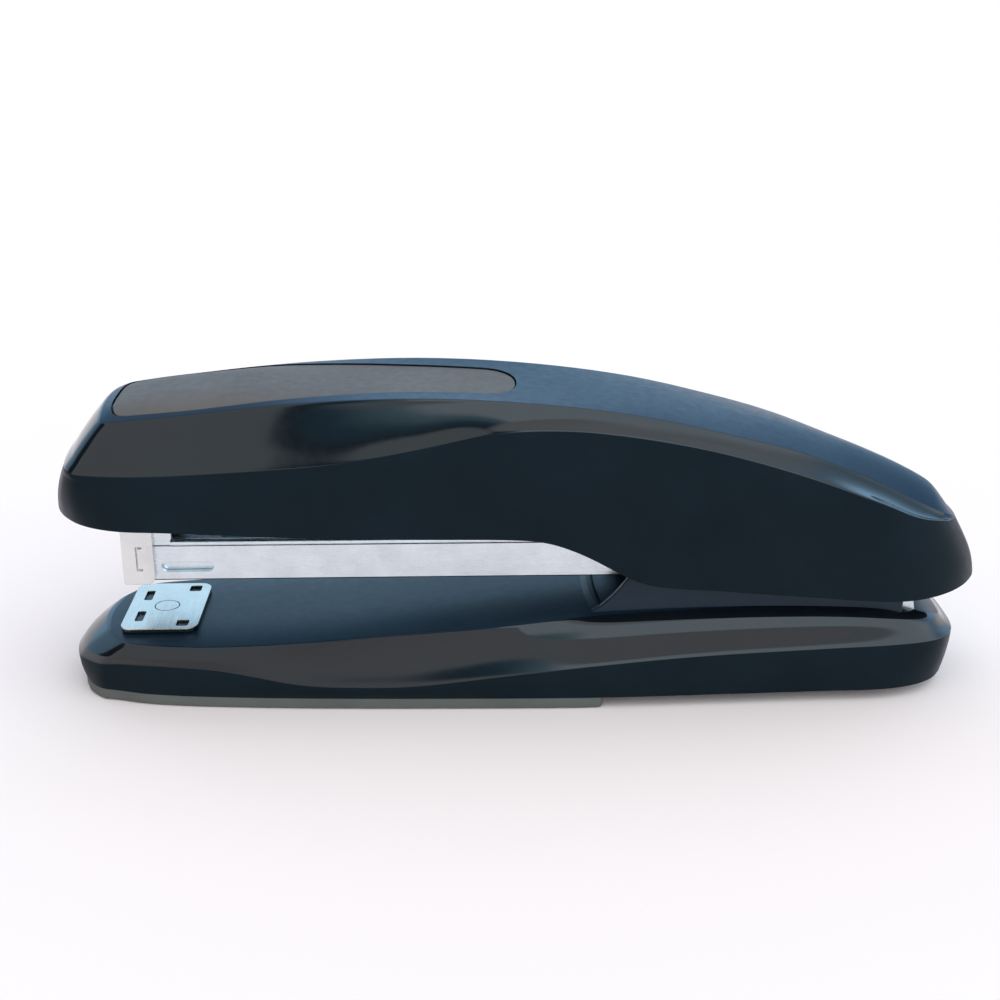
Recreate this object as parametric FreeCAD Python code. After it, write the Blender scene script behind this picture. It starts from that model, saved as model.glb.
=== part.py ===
import FreeCAD, Part
import math
import os

# Desk stapler. Millimetres. +X runs from the nose to the rear, +Z is up.
# The origin is on the desk under the middle of the object.

Vec = FreeCAD.Vector

# ---- driving dimensions -------------------------------------------------
PIVOT_X = 66.0
PIVOT_Z = 25.5
PIN_R = 2.0
RUN_CLEARANCE = 0.05

# handle cover: heights of the long creases, as (x, z)
TOP_CREASE = [(-92, 50.5), (-74, 53.9), (-60, 55.5), (-41, 57.5), (-20, 58.25), (0, 57.25),
              (20, 54.6), (39, 50.2), (57, 44.6), (70, 38.5), (78, 33.6), (92, 22.0)]
BAND_CREASE = [(-92, 45.6), (-70, 45.3), (-48, 46.2), (-32, 47.6), (-19, 50.0), (-8, 52.4),
               (0, 53.2), (12, 52.8), (30, 49.8), (47, 45.0), (63, 39.3), (75, 34.6), (92, 22.0)]
SKIRT_EDGE = [(-90, 35.6), (-66, 35.2), (-40, 33.9), (-20, 33.4), (-2, 33.1), (4, 32.4),
              (11, 29.6), (16.5, 26.4), (22, 24.0), (35, 22.8), (50, 21.5), (66, 20.3), (90, 20.0)]
TOP_HALF = 13.4
BAND_HALF = 16.5
SKIRT_HALF = 17.3
COVER_WALL = 2.0
BAND_SCOOP = 0.55
TOP_CROWN = [(-92, 2.4), (-70, 2.1), (-60, 2.1), (-48, 1.4), (-36, 0.5), (-26, 0.2), (0, 0.2),
             (24, 0.5), (50, 1.1), (75, 1.6), (92, 1.8)]
# ends of the cover in side view, as (z, x)
COVER_NOSE = [(18, -86.0), (36, -86.0), (42, -84.6), (46.6, -82.0), (56.2, -74.4), (70, -63.5)]
COVER_TAIL = [(12, 88.8), (20, 85.8), (24, 84.3), (28, 82.2), (33, 80.2), (37, 76.6), (40, 71.5),
              (70, 20.0)]
COVER_NOSE_ROUND = 9.0
COVER_TAIL_ROUND = 22.0

# soft pad let into the top of the handle, half-width along x
PAD_HALF = [(-73.6, 10.9), (-66, 11.8), (-57, 12.2), (-49, 12.0), (-42, 11.3), (-35, 10.4),
            (-22, 8.9), (-8, 8.2)]
PAD_CORNER = 2.6
PAD_TIP_X = -1.5
PAD_DEPTH = 1.7
PAD_RECESS = 0.35
PAD_GROOVE = 0.3

# base shell
BASE_HALF = [(-92, 10.5), (-77, 12.6), (-70, 14.5), (-60, 15.8), (-41, 17.0), (-14, 17.8), (14, 18.1),
             (41, 17.2), (60, 16.5), (69, 15.4), (76, 13.0), (92, 9.0)]
DECK_EDGE = [(-92, 12.4), (-75, 11.9), (-56, 12.0), (-40, 12.9), (-20, 14.7), (-4, 16.0), (14, 17.2),
             (30, 17.9), (50, 18.3), (66, 18.0), (74, 16.9), (92, 11.0)]
BASE_CREASE = [(-92, 9.2), (-60, 8.9), (-50, 7.3), (-41, 5.5), (-30, 5.1), (-20, 5.3), (-4, 7.1),
               (14, 9.0), (31, 10.3), (57, 11.2), (70, 12.0), (92, 12.6)]
DECK_INSET = 1.6
BASE_BULGE = 0.5
BASE_WALL = 2.2
BASE_BOTTOM = 2.2
DECK_CROWN = 0.35
BASE_FRONT = [(0, -83.0), (2.2, -83.6), (8.0, -84.6), (12.4, -79.2), (16, -74.0), (24, -62.0)]
BASE_REAR = [(0, 80.0), (2.2, 80.4), (10.2, 80.9), (13.0, 78.6), (16.2, 74.6), (19.5, 69.0), (24, 60.0)]

# riser cheeks of the base, and the clevis stack at the pivot, as inner and outer |y|
CHEEK_Y = (11.6, 13.2)
FRAME_EAR_Y = (9.9, 11.1)
CHANNEL_Y = (8.2, 9.4)
EAR_R = 4.6

# magazine
MAG_BOTTOM = 22.2
MAG_TOP = 29.2
MAG_HALF = 7.8
SHEET = 1.0
LIP_R = 0.75
LIP_Y = 8.3
LIP_Z = 29.8
WINDOW_FRONT = -65.8
WINDOW_REAR = -58.2
WINDOW_Z = 24.75
WINDOW_R = 0.95
MAG_REAR = 71.0
LIP_START = -64.6
LIP_END = 50.0
FRONT_X = -73.8
FRONT_PLATE_REAR = -67.9
DRIVER_SLOT = 1.6
FRONT_NOTCH_Z = 31.5
LANCE_X = -71.1
LANCE_LOW = 24.4
LANCE_TALL = 4.7
LANCE_LONG = 1.15
LANCE_GAP = 0.35
LANCE_DEPTH = 0.7
CORE_HALF = 5.7
CORE_TOP = 28.8
CORE_SHEET = 0.8
ROD_R = 1.2
ROD_Z = 25.6
ROD_STOP_X = 56.0
PUSHER_FRONT = -69.4
PUSHER_LENGTH = 13.5

# steel channel inside the handle, and the driver blade riveted to it
CHANNEL_TOP_Z = 47.5
CHANNEL_SHEET = 1.2
CHANNEL_TOP_LINE = [(-74.0, CHANNEL_TOP_Z), (20.0, CHANNEL_TOP_Z), (60.0, 37.5), (70.6, 32.0)]
CHANNEL_FLANGE_FRONT = -66.0
CHANNEL_LOW_FRONT = 38.4
CHANNEL_LOW_REAR = 31.9
SCREW_SPOTS = [-52.0, 8.0]
RIVET_X = -66.0
BLADE_THICK = 0.6
BLADE_HALF = 6.1
BLADE_TIP_Z = 29.8
BLADE_TAB_REAR = -60.5
BLADE_BEND_R = 0.5
HANDLE_SPRING_X = 50.0
HANDLE_SPRING_TOP = 37.4

# steel plate inside the base, and the sole under it
FRAME_FRONT = -56.0
FRAME_REAR = 74.0
FRAME_FLOOR = 4.0
FRAME_SHEET = 1.2
FRAME_SCREWS = [-36.0, 34.0]
SOLE_END = 14.0

# anvil
ANVIL_X = -68.0
ANVIL_LENGTH = 14.2
ANVIL_WIDTH = 20.5
ANVIL_BOTTOM = 12.6
ANVIL_THICK = 0.8
STEM_R = 1.5
HEAD_R = 2.2
HEAD_GAP = 0.2
HEAD_THICK = 0.4
CROWN_SPAN = 13.7
POCKET_MARGIN = 2.9
POCKET_DEPTH = 0.5
POCKET_CORNER = 0.5
CLOSE_POCKET_WIDE = 1.6
FAR_POCKET_WIDE = 2.3
BUTTON_TOP = 5.0

# how far a cutting tool runs past the body it cuts
PAST = 5.0


# ---- small helpers ------------------------------------------------------
def rail(points, x):
    """Height at x of a smooth line through the points (cubic Hermite)."""
    if x <= points[0][0]:
        return points[0][1]
    if x >= points[-1][0]:
        return points[-1][1]
    slopes = []
    for i in range(len(points)):
        lo = points[max(i - 1, 0)]
        hi = points[min(i + 1, len(points) - 1)]
        slopes.append((hi[1] - lo[1]) / (hi[0] - lo[0]))
    for i in range(len(points) - 1):
        x0, v0 = points[i]
        x1, v1 = points[i + 1]
        if x <= x1:
            h = x1 - x0
            t = (x - x0) / h
            return (v0 * (1 + 2 * t) * (1 - t) ** 2 + slopes[i] * h * t * (1 - t) ** 2
                    + v1 * t * t * (3 - 2 * t) - slopes[i + 1] * h * t * t * (1 - t))
    return points[-1][1]


def box(x0, x1, y0, y1, z0, z1):
    return Part.makeBox(x1 - x0, y1 - y0, z1 - z0, Vec(x0, y0, z0))


def slab(x0, x1, half_y, z0, z1):
    return box(x0, x1, -half_y, half_y, z0, z1)


def side_prism(points, y0, y1):
    """Polygon given in side view (x, z), extruded from y0 to y1."""
    loop = [Vec(x, y0, z) for x, z in points]
    face = Part.Face(Part.makePolygon(loop + [loop[0]]))
    return face.extrude(Vec(0, y1 - y0, 0))


def pair(y_range, points):
    """The same side-view polygon on both sides of the middle plane."""
    lo, hi = y_range
    return [side_prism(points, lo, hi), side_prism(points, -hi, -lo)]


def cyl_y(x, z, radius, y0, y1):
    return Part.makeCylinder(radius, y1 - y0, Vec(x, y0, z), Vec(0, 1, 0))


def cyl_z(x, y, radius, z0, z1):
    return Part.makeCylinder(radius, z1 - z0, Vec(x, y, z0), Vec(0, 0, 1))


def cyl_x(y, z, radius, x0, x1):
    return Part.makeCylinder(radius, x1 - x0, Vec(x0, y, z), Vec(1, 0, 0))


def coil_z(x, y, z0, z1, radius, wire_r, turns):
    """Helical compression spring standing along Z."""
    height = z1 - z0 - 2 * wire_r
    path = Part.makeHelix(height / turns, height, radius)
    ring = Part.Wire(Part.makeCircle(wire_r, Vec(radius, 0, 0), Vec(0, 1, 0)))
    spring = Part.Wire(path.Edges).makePipeShell([ring], True, True)
    spring.translate(Vec(x, y, z0 + wire_r))
    return spring


def fuse(shapes):
    return shapes[0].fuse(shapes[1:]).removeSplitter()


def rounded_rect_prism(x0, x1, y0, y1, z0, z1, radius):
    """Flat plate with rounded vertical corners."""
    plate = box(x0, x1, y0, y1, z0, z1)
    upright = [e for e in plate.Edges if abs(e.Vertexes[0].Z - e.Vertexes[1].Z) > 1e-6]
    return plate.makeFillet(radius, upright)


# ---- shapes shared by the shells ---------------------------------------
def plan_loop(z, front, rear, half, front_round, rear_round, front_power=2.6, rear_power=2.0):
    """Closed plan outline at height z with a blunt front and a rounded rear."""
    def end(tip, depth, power, sign):
        count = 8
        spots = []
        for i in range(count + 1):
            angle = math.pi * (i / count - 0.5)
            y = half * math.copysign(abs(math.sin(angle)) ** (2 / power), angle)
            x = tip - sign * depth * (1 - math.cos(angle) ** (2 / power))
            spots.append(Vec(x, y, z))
        curve = Part.BSplineCurve()
        curve.interpolate(spots)
        return curve.toShape()
    front_edge = end(front, front_round, front_power, -1)
    rear_edge = end(rear, rear_round, rear_power, 1)
    left = Part.makeLine(Vec(front + front_round, half, z), Vec(rear - rear_round, half, z))
    right = Part.makeLine(Vec(front + front_round, -half, z), Vec(rear - rear_round, -half, z))
    return Part.Wire(Part.__sortEdges__([front_edge, left, rear_edge, right]))


def end_cap_solid(front_line, rear_line, half, inset, front_round, rear_round, bottom_drop=0.0):
    """Upright body whose nose and tail follow the side-view lines, rounded in plan."""
    levels = sorted({z for z, _ in front_line} | {z for z, _ in rear_line})
    low = max(front_line[0][0], rear_line[0][0]) - bottom_drop
    high = min(front_line[-1][0], rear_line[-1][0])
    loops = []
    for z in [low] + [z for z in levels if low < z < high] + [high]:
        loops.append(plan_loop(z, rail(front_line, z) + inset, rail(rear_line, z) - inset,
                               half - inset, front_round - inset * 0.5, rear_round - inset * 0.5))
    return Part.makeLoft(loops, True, True)


def cover_section(x, inset, drop):
    """Cross-section of the handle cover at x, shrunk inwards by inset and lowered by drop."""
    top_half = TOP_HALF - 0.7 * inset
    band_half = BAND_HALF - inset
    side_half = SKIRT_HALF - inset
    z_top = rail(TOP_CREASE, x) - inset - drop
    z_band = min(rail(BAND_CREASE, x), rail(TOP_CREASE, x) - 1.2) - 0.5 * inset - drop
    crown = rail(TOP_CROWN, x)
    floor = 8.0
    mid_y = 0.5 * (top_half + band_half) - BAND_SCOOP * 0.8
    mid_z = 0.5 * (z_top + z_band) - BAND_SCOOP * 0.6
    edges = [
        Part.Arc(Vec(x, -top_half, z_top), Vec(x, 0, z_top + crown), Vec(x, top_half, z_top)).toShape(),
        Part.Arc(Vec(x, top_half, z_top), Vec(x, mid_y, mid_z), Vec(x, band_half, z_band)).toShape(),
        Part.makeLine(Vec(x, band_half, z_band), Vec(x, side_half, floor)),
        Part.makeLine(Vec(x, side_half, floor), Vec(x, -side_half, floor)),
        Part.makeLine(Vec(x, -side_half, floor), Vec(x, -band_half, z_band)),
        Part.Arc(Vec(x, -band_half, z_band), Vec(x, -mid_y, mid_z), Vec(x, -top_half, z_top)).toShape(),
    ]
    return Part.Wire(edges)


COVER_STATIONS = [-92, -80, -70, -60, -48, -36, -26, -18, -10, 0, 12, 24, 36, 48, 60, 70, 80, 92]


def cover_loft(inset=0.0, drop=0.0):
    return Part.makeLoft([cover_section(x, inset, drop) for x in COVER_STATIONS], True, False)


def skirt_line(x0, x1, step, lift):
    count = int(round((x1 - x0) / step))
    return [(x0 + (x1 - x0) * i / count, rail(SKIRT_EDGE, x0 + (x1 - x0) * i / count) + lift)
            for i in range(count + 1)]


def smooth_side_prism(low_points, high_z, half):
    """Side-view region above a smooth lower line, extruded across the width."""
    spots = [Vec(x, -half, z) for x, z in low_points]
    curve = Part.BSplineCurve()
    curve.interpolate(spots)
    first, last = spots[0], spots[-1]
    top_first = Vec(first.x, -half, high_z)
    top_last = Vec(last.x, -half, high_z)
    wire = Part.Wire([curve.toShape(), Part.makeLine(last, top_last),
                      Part.makeLine(top_last, top_first), Part.makeLine(top_first, first)])
    return Part.Face(wire).extrude(Vec(0, 2 * half, 0))


def pad_outline(extra, z0, z1):
    """Plan prism of the soft pad, grown by extra."""
    front = PAD_HALF[0][0] - extra
    corner = PAD_CORNER
    upper = [Vec(front + corner, PAD_HALF[0][1] + extra, 0)]
    for x, half in PAD_HALF[1:]:
        upper.append(Vec(x, half + extra, 0))
    curve = Part.BSplineCurve()
    curve.interpolate(upper)
    lower_curve = Part.BSplineCurve()
    lower_curve.interpolate([Vec(p.x, -p.y, 0) for p in upper])
    end = upper[-1]
    tip = Part.Arc(end, Vec(PAD_TIP_X + extra, 0, 0), Vec(end.x, -end.y, 0)).toShape()
    start = upper[0]
    inner = start.y - corner
    turn = corner * (1 - math.sqrt(0.5))
    left = Part.Arc(start, Vec(front + turn, start.y - turn, 0), Vec(front, inner, 0)).toShape()
    nose = Part.makeLine(Vec(front, inner, 0), Vec(front, -inner, 0))
    right = Part.Arc(Vec(front, -inner, 0), Vec(front + turn, -start.y + turn, 0),
                     Vec(start.x, -start.y, 0)).toShape()
    wire = Part.Wire(Part.__sortEdges__([curve.toShape(), tip, lower_curve.toShape(), right, nose, left]))
    face = Part.Face(wire)
    face.translate(Vec(0, 0, z0))
    return face.extrude(Vec(0, 0, z1 - z0))


# ---- handle -------------------------------------------------------------
def handle_cover():
    outer = cover_loft().common(end_cap_solid(COVER_NOSE, COVER_TAIL, SKIRT_HALF + 0.4, 0.0,
                                              COVER_NOSE_ROUND, COVER_TAIL_ROUND))
    inner = cover_loft(COVER_WALL).common(end_cap_solid(COVER_NOSE, COVER_TAIL, SKIRT_HALF + 0.4,
                                                        COVER_WALL, COVER_NOSE_ROUND,
                                                        COVER_TAIL_ROUND))
    keep = smooth_side_prism(skirt_line(-90, 90, 6, 0.0), 75, 25)
    shell = outer.cut(inner).common(keep)
    bosses = []
    for x in SCREW_SPOTS:
        bosses.append(cyl_z(x, 0, 3.2, CHANNEL_TOP_Z, 70).common(outer).cut(
            cyl_z(x, 0, 1.2, CHANNEL_TOP_Z - 1, CHANNEL_TOP_Z + 5)))
    shell = shell.fuse(bosses)
    pocket = pad_outline(PAD_GROOVE, 40, 75).cut(cover_loft(0.0, PAD_DEPTH))
    return shell.cut(pocket)


def handle_pad():
    block = pad_outline(0.0, 40, 75)
    return block.common(cover_loft(0.0, PAD_RECESS)).cut(cover_loft(0.0, PAD_DEPTH))


def handle_channel():
    half_in, half_out = CHANNEL_Y
    ear_front = PIVOT_X - EAR_R
    ear_rear = PIVOT_X + EAR_R
    tongue_low = CHANNEL_TOP_Z - CHANNEL_SHEET
    outline = CHANNEL_TOP_LINE + [(ear_rear, PIVOT_Z), (ear_front, PIVOT_Z), (54.0, CHANNEL_LOW_REAR),
                                  (CHANNEL_FLANGE_FRONT, CHANNEL_LOW_FRONT),
                                  (CHANNEL_FLANGE_FRONT, tongue_low), (-74.0, tongue_low)]
    outer = side_prism(outline, -half_out, half_out)
    outer = outer.fuse(cyl_y(PIVOT_X, PIVOT_Z, EAR_R, -half_out, half_out))
    hollow_top = [(x, z - CHANNEL_SHEET) for x, z in CHANNEL_TOP_LINE]
    hollow_top[0] = (-80.0, hollow_top[0][1])
    hollow_top[-1] = (90.0, hollow_top[-1][1] - 7.0)
    hollow = side_prism(hollow_top + [(90.0, 10.0), (-80.0, 10.0)], -half_in, half_in)
    channel = outer.cut(hollow)
    channel = channel.cut(cyl_y(PIVOT_X, PIVOT_Z, PIN_R + RUN_CLEARANCE, -20, 20))
    for x in SCREW_SPOTS:
        channel = channel.cut(cyl_z(x, 0, 1.5, CHANNEL_TOP_Z - 3, CHANNEL_TOP_Z + 1))
    return channel.cut(cyl_z(RIVET_X, 0, 1.5, CHANNEL_TOP_Z - 3, CHANNEL_TOP_Z + 1)).removeSplitter()


def handle_screws():
    screws = []
    for x in SCREW_SPOTS:
        under = CHANNEL_TOP_Z - CHANNEL_SHEET
        head = cyl_z(x, 0, 2.5, under - 1.4, under)
        slot = box(x - 2.6, x + 2.6, -0.35, 0.35, under - 1.5, under - 0.8)
        screws.append(head.cut(slot).fuse(cyl_z(x, 0, 1.2, under, CHANNEL_TOP_Z + 4.6)))
    return Part.makeCompound(screws)


def blade_front():
    """x of the driver blade's front face at rest."""
    return FRONT_X + SHEET + 0.7


def driver_blade():
    under = CHANNEL_TOP_Z - CHANNEL_SHEET
    x0 = blade_front()
    upright = slab(x0, x0 + BLADE_THICK, BLADE_HALF, BLADE_TIP_Z, under)
    tab = slab(x0, BLADE_TAB_REAR, BLADE_HALF, under - BLADE_THICK, under)
    blade = fuse([upright, tab])
    bend = [e for e in blade.Edges if abs(e.Vertexes[0].Y - e.Vertexes[-1].Y) > 10
            and e.BoundBox.XMax < x0 + 0.01 and e.BoundBox.ZMin > under - 0.01]
    blade = blade.makeFillet(BLADE_BEND_R, bend)
    return blade.cut(cyl_z(RIVET_X, 0, 1.5, under - 2, under + 1))


def blade_rivet():
    under = CHANNEL_TOP_Z - CHANNEL_SHEET - BLADE_THICK
    shank = cyl_z(RIVET_X, 0, 1.5, under, CHANNEL_TOP_Z)
    low = cyl_z(RIVET_X, 0, 2.6, under - 0.9, under)
    high = cyl_z(RIVET_X, 0, 2.6, CHANNEL_TOP_Z, CHANNEL_TOP_Z + 0.9)
    return fuse([shank, low, high])


def handle_spring():
    return coil_z(HANDLE_SPRING_X, 0, CORE_TOP, HANDLE_SPRING_TOP, 3.6, 0.45, 5)


# ---- magazine -----------------------------------------------------------
def magazine_rail():
    """Open steel channel with curled lips, higher cheeks in front and ears at the pivot."""
    inner_half = MAG_HALF - SHEET
    floor_front = FRONT_X + SHEET + DRIVER_SLOT
    body = slab(floor_front, MAG_REAR, MAG_HALF, MAG_BOTTOM, MAG_TOP)
    front_cheeks = slab(floor_front, LIP_START, MAG_HALF, MAG_BOTTOM, 33.4)
    ears = cyl_y(PIVOT_X, PIVOT_Z, EAR_R, -MAG_HALF, MAG_HALF)
    ears = ears.common(slab(55, 80, MAG_HALF, MAG_BOTTOM, 32))
    curls = [cyl_x(side * LIP_Y, LIP_Z, LIP_R, LIP_START, LIP_END) for side in (-1, 1)]
    outer = fuse([body, front_cheeks, ears] + curls)
    outer = outer.cut(slab(floor_front - PAST, MAG_REAR + PAST, inner_half, MAG_BOTTOM + SHEET, 40))
    outer = outer.cut(cyl_y(PIVOT_X, PIVOT_Z, PIN_R + RUN_CLEARANCE, -20, 20))
    window_low = WINDOW_Z - WINDOW_R
    window_high = WINDOW_Z + WINDOW_R
    slot = fuse([box(WINDOW_FRONT, WINDOW_REAR, -12, 12, window_low, window_high),
                 cyl_y(WINDOW_FRONT, WINDOW_Z, WINDOW_R, -12, 12),
                 cyl_y(WINDOW_REAR, WINDOW_Z, WINDOW_R, -12, 12)])
    return outer.cut(slot)


def front_plate():
    """Bent steel nose of the magazine, folded round the rail's sides."""
    half = MAG_HALF + SHEET
    gap = 0.02
    low = MAG_BOTTOM - 0.5
    top = 34.0
    wall = slab(FRONT_X, FRONT_X + SHEET, half, low, top)
    wall = wall.cut(slab(FRONT_X - 1, FRONT_X + 2, MAG_HALF - SHEET, FRONT_NOTCH_Z, top + 1))
    sides = slab(FRONT_X, FRONT_PLATE_REAR, half, low, top)
    sides = sides.cut(slab(FRONT_X - 1, FRONT_PLATE_REAR + 1, MAG_HALF + gap, low - 1, 38))
    plate = fuse([wall, sides])
    corners = [e for e in plate.Edges if abs(e.BoundBox.XMax - e.BoundBox.XMin) < 1e-6
               and abs(e.BoundBox.XMin - FRONT_PLATE_REAR) < 1e-6
               and e.BoundBox.YLength > 0.5 and e.BoundBox.ZLength < 1e-6]
    plate = plate.makeFillet(1.6, corners)
    folds = [e for e in plate.Edges if abs(e.BoundBox.XMin - FRONT_X) < 1e-6
             and abs(e.BoundBox.XMax - FRONT_X) < 1e-6 and e.BoundBox.ZLength > 5
             and e.BoundBox.YLength < 1e-6]
    plate = plate.makeFillet(0.9, folds)
    lance_high = LANCE_LOW + LANCE_TALL
    cuts = [(LANCE_X, LANCE_X + LANCE_GAP, LANCE_LOW, lance_high),
            (LANCE_X, LANCE_X + LANCE_LONG, LANCE_LOW, LANCE_LOW + LANCE_GAP),
            (LANCE_X, LANCE_X + LANCE_LONG, lance_high - LANCE_GAP, lance_high)]
    for x0, x1, z0, z1 in cuts:
        plate = plate.cut(box(x0, x1, -half - 1, -half + LANCE_DEPTH, z0, z1))
    return plate


def staple_core():
    """Inner rail that the staples straddle, slotted along its top for the pusher."""
    start = FRONT_X + SHEET + DRIVER_SLOT
    outer = slab(start, 55.5, CORE_HALF, MAG_BOTTOM + SHEET, CORE_TOP)
    hollow = slab(start - 1, 56.5, CORE_HALF - CORE_SHEET, MAG_BOTTOM, CORE_TOP - CORE_SHEET)
    slot = slab(-71.5, 45.0, 1.3, CORE_TOP - 2, CORE_TOP + 1)
    return outer.cut(hollow).cut(slot)


def guide_rod():
    return cyl_x(0, ROD_Z, ROD_R, -70.6, ROD_STOP_X + 3.5)


def rod_stop():
    """Moulded block that closes the rear of the magazine and holds the rod."""
    half = MAG_HALF - SHEET
    block = slab(ROD_STOP_X, ROD_STOP_X + 5.0, half, MAG_BOTTOM + SHEET, MAG_TOP)
    return block.cut(cyl_x(0, ROD_Z, ROD_R, ROD_STOP_X - 1, ROD_STOP_X + 3.5))


def rod_nose_clip():
    """Small plate that carries the front end of the guide rod inside the core rail."""
    half = CORE_HALF - CORE_SHEET
    clip = slab(-70.6, -69.8, half, MAG_BOTTOM + SHEET, CORE_TOP - CORE_SHEET)
    return clip.cut(cyl_x(0, ROD_Z, ROD_R, -72, -69))


def pusher():
    """Slider that straddles the core rail and is carried by a sleeve on the guide rod."""
    rear = PUSHER_FRONT + PUSHER_LENGTH
    leg_in = CORE_HALF + 0.12
    leg_out = MAG_HALF - SHEET - 0.15
    bridge = slab(PUSHER_FRONT, rear, leg_out, CORE_TOP + 0.1, CORE_TOP + 1.0)
    legs = slab(PUSHER_FRONT, rear, leg_out, MAG_BOTTOM + SHEET + 0.3, CORE_TOP + 0.2)
    legs = legs.cut(slab(PUSHER_FRONT - 1, rear + 1, leg_in, MAG_BOTTOM, CORE_TOP + 0.1))
    neck = slab(PUSHER_FRONT, rear, 1.1, ROD_Z, CORE_TOP + 0.5)
    sleeve = cyl_x(0, ROD_Z, 2.1, PUSHER_FRONT, rear)
    body = fuse([bridge, legs, neck, sleeve])
    return body.cut(cyl_x(0, ROD_Z, ROD_R + RUN_CLEARANCE, PUSHER_FRONT - 1, rear + 1))


def pusher_spring():
    start = PUSHER_FRONT + PUSHER_LENGTH
    spring = coil_z(0, 0, 0, ROD_STOP_X - start, 1.75, 0.22, 34)
    spring.rotate(Vec(0, 0, 0), Vec(0, 1, 0), 90)
    spring.translate(Vec(start, 0, ROD_Z))
    return spring


# ---- base ---------------------------------------------------------------
BASE_STATIONS = [-92, -82, -76, -68, -60, -50, -40, -30, -20, -8, 4, 16, 30, 44, 58, 68, 76, 92]


def base_section(x, inset, drop):
    half = rail(BASE_HALF, x) - inset
    crease_half = half + BASE_BULGE
    deck_half = half - DECK_INSET
    z_deck = rail(DECK_EDGE, x) - drop
    z_crease = min(rail(BASE_CREASE, x), z_deck - 1.5)
    low = -4.0
    mid_y = 0.5 * (crease_half + deck_half) - 0.35
    mid_z = 0.5 * (z_deck + z_crease) - 0.15
    edges = [
        Part.Arc(Vec(x, -deck_half, z_deck), Vec(x, 0, z_deck + DECK_CROWN),
                 Vec(x, deck_half, z_deck)).toShape(),
        Part.Arc(Vec(x, deck_half, z_deck), Vec(x, mid_y, mid_z), Vec(x, crease_half, z_crease)).toShape(),
        Part.makeLine(Vec(x, crease_half, z_crease), Vec(x, half, low)),
        Part.makeLine(Vec(x, half, low), Vec(x, -half, low)),
        Part.makeLine(Vec(x, -half, low), Vec(x, -crease_half, z_crease)),
        Part.Arc(Vec(x, -crease_half, z_crease), Vec(x, -mid_y, mid_z),
                 Vec(x, -deck_half, z_deck)).toShape(),
    ]
    return Part.Wire(edges)


def base_solid(inset=0.0, drop=0.0):
    body = Part.makeLoft([base_section(x, inset, drop) for x in BASE_STATIONS], True, False)
    return body.common(end_cap_solid(BASE_FRONT, BASE_REAR, 20.0, inset, 16.0, 14.0))


CHEEK_FRONT = [(8.0, 14.6), (13.4, 17.6), (15.9, 20.4), (17.8, 22.9)]


def cheek_outline():
    top = PIVOT_Z + 3.0
    return CHEEK_FRONT + [(24.0, top - 1.6), (60.0, top), (PIVOT_X, PIVOT_Z + EAR_R),
                          (PIVOT_X + EAR_R, PIVOT_Z), (70.2, 19.0), (71.0, 16.0), (70.0, 12.0),
                          (8.0, 12.0)]


def base_shell():
    outer = base_solid()
    inner = base_solid(BASE_WALL, BASE_WALL)
    hollow = inner
    for tube in screw_bosses():
        hollow = hollow.cut(tube)
    shell = outer.cut(hollow).cut(slab(-100, 100, 30, -6, BASE_BOTTOM))
    cheeks = [c.cut(inner) for c in pair(CHEEK_Y, cheek_outline())]
    boss = cyl_z(ANVIL_X, 0, 5.0, 8.0, 12.4).common(outer)
    shell = shell.fuse(cheeks + [boss])
    shell = shell.cut(cyl_y(PIVOT_X, PIVOT_Z, PIN_R, -20, 20))
    shell = shell.cut(cyl_z(ANVIL_X, 0, STEM_R + RUN_CLEARANCE, 0, 20))
    slots = [side_prism([(57, 3), (75, 3), (75, 19.5), (57, 19.5)], lo, hi)
             for lo, hi in ((FRAME_EAR_Y[0] - 0.1, FRAME_EAR_Y[1] + 0.1),
                            (-FRAME_EAR_Y[1] - 0.1, -FRAME_EAR_Y[0] + 0.1))]
    for slot in slots:
        shell = shell.cut(slot)
    return shell


def base_frame():
    """Pressed steel floor plate inside the base with two ears for the hinge pin."""
    floor = rounded_rect_prism(FRAME_FRONT, FRAME_REAR, -FRAME_EAR_Y[1], FRAME_EAR_Y[1], FRAME_FLOOR,
                               FRAME_FLOOR + FRAME_SHEET, 3.0)
    ear = [(58.0, FRAME_FLOOR), (FRAME_REAR, FRAME_FLOOR), (PIVOT_X + EAR_R, PIVOT_Z),
           (PIVOT_X - EAR_R, PIVOT_Z)]
    ears = pair(FRAME_EAR_Y, ear)
    for lo, hi in (FRAME_EAR_Y, (-FRAME_EAR_Y[1], -FRAME_EAR_Y[0])):
        ears.append(cyl_y(PIVOT_X, PIVOT_Z, EAR_R, lo, hi))
    frame = fuse([floor] + ears)
    frame = frame.cut(cyl_y(PIVOT_X, PIVOT_Z, PIN_R, -20, 20))
    for x in FRAME_SCREWS:
        frame = frame.cut(cyl_z(x, 0, 1.3, 0, 10))
    return frame


def hinge_pin():
    end = CHEEK_Y[1] + 0.5
    return cyl_y(PIVOT_X, PIVOT_Z, PIN_R, -end, end)


def pin_clips():
    """Push-on washers that keep the hinge pin in place."""
    inner = CHEEK_Y[1]
    clips = []
    for lo, hi in ((inner, inner + 0.5), (-inner - 0.5, -inner)):
        clips.append(cyl_y(PIVOT_X, PIVOT_Z, 3.6, lo, hi).cut(cyl_y(PIVOT_X, PIVOT_Z, PIN_R, -20, 20)))
    return Part.makeCompound(clips)


def frame_screws():
    screws = []
    for x in FRAME_SCREWS:
        head = cyl_z(x, 0, 2.6, FRAME_FLOOR - 1.5, FRAME_FLOOR)
        slot = box(x - 2.7, x + 2.7, -0.35, 0.35, FRAME_FLOOR - 1.6, FRAME_FLOOR - 0.9)
        top = rail(DECK_EDGE, x) - BASE_WALL
        screws.append(head.cut(slot).fuse(cyl_z(x, 0, 1.3, FRAME_FLOOR, top)))
    return Part.makeCompound(screws)


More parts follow.
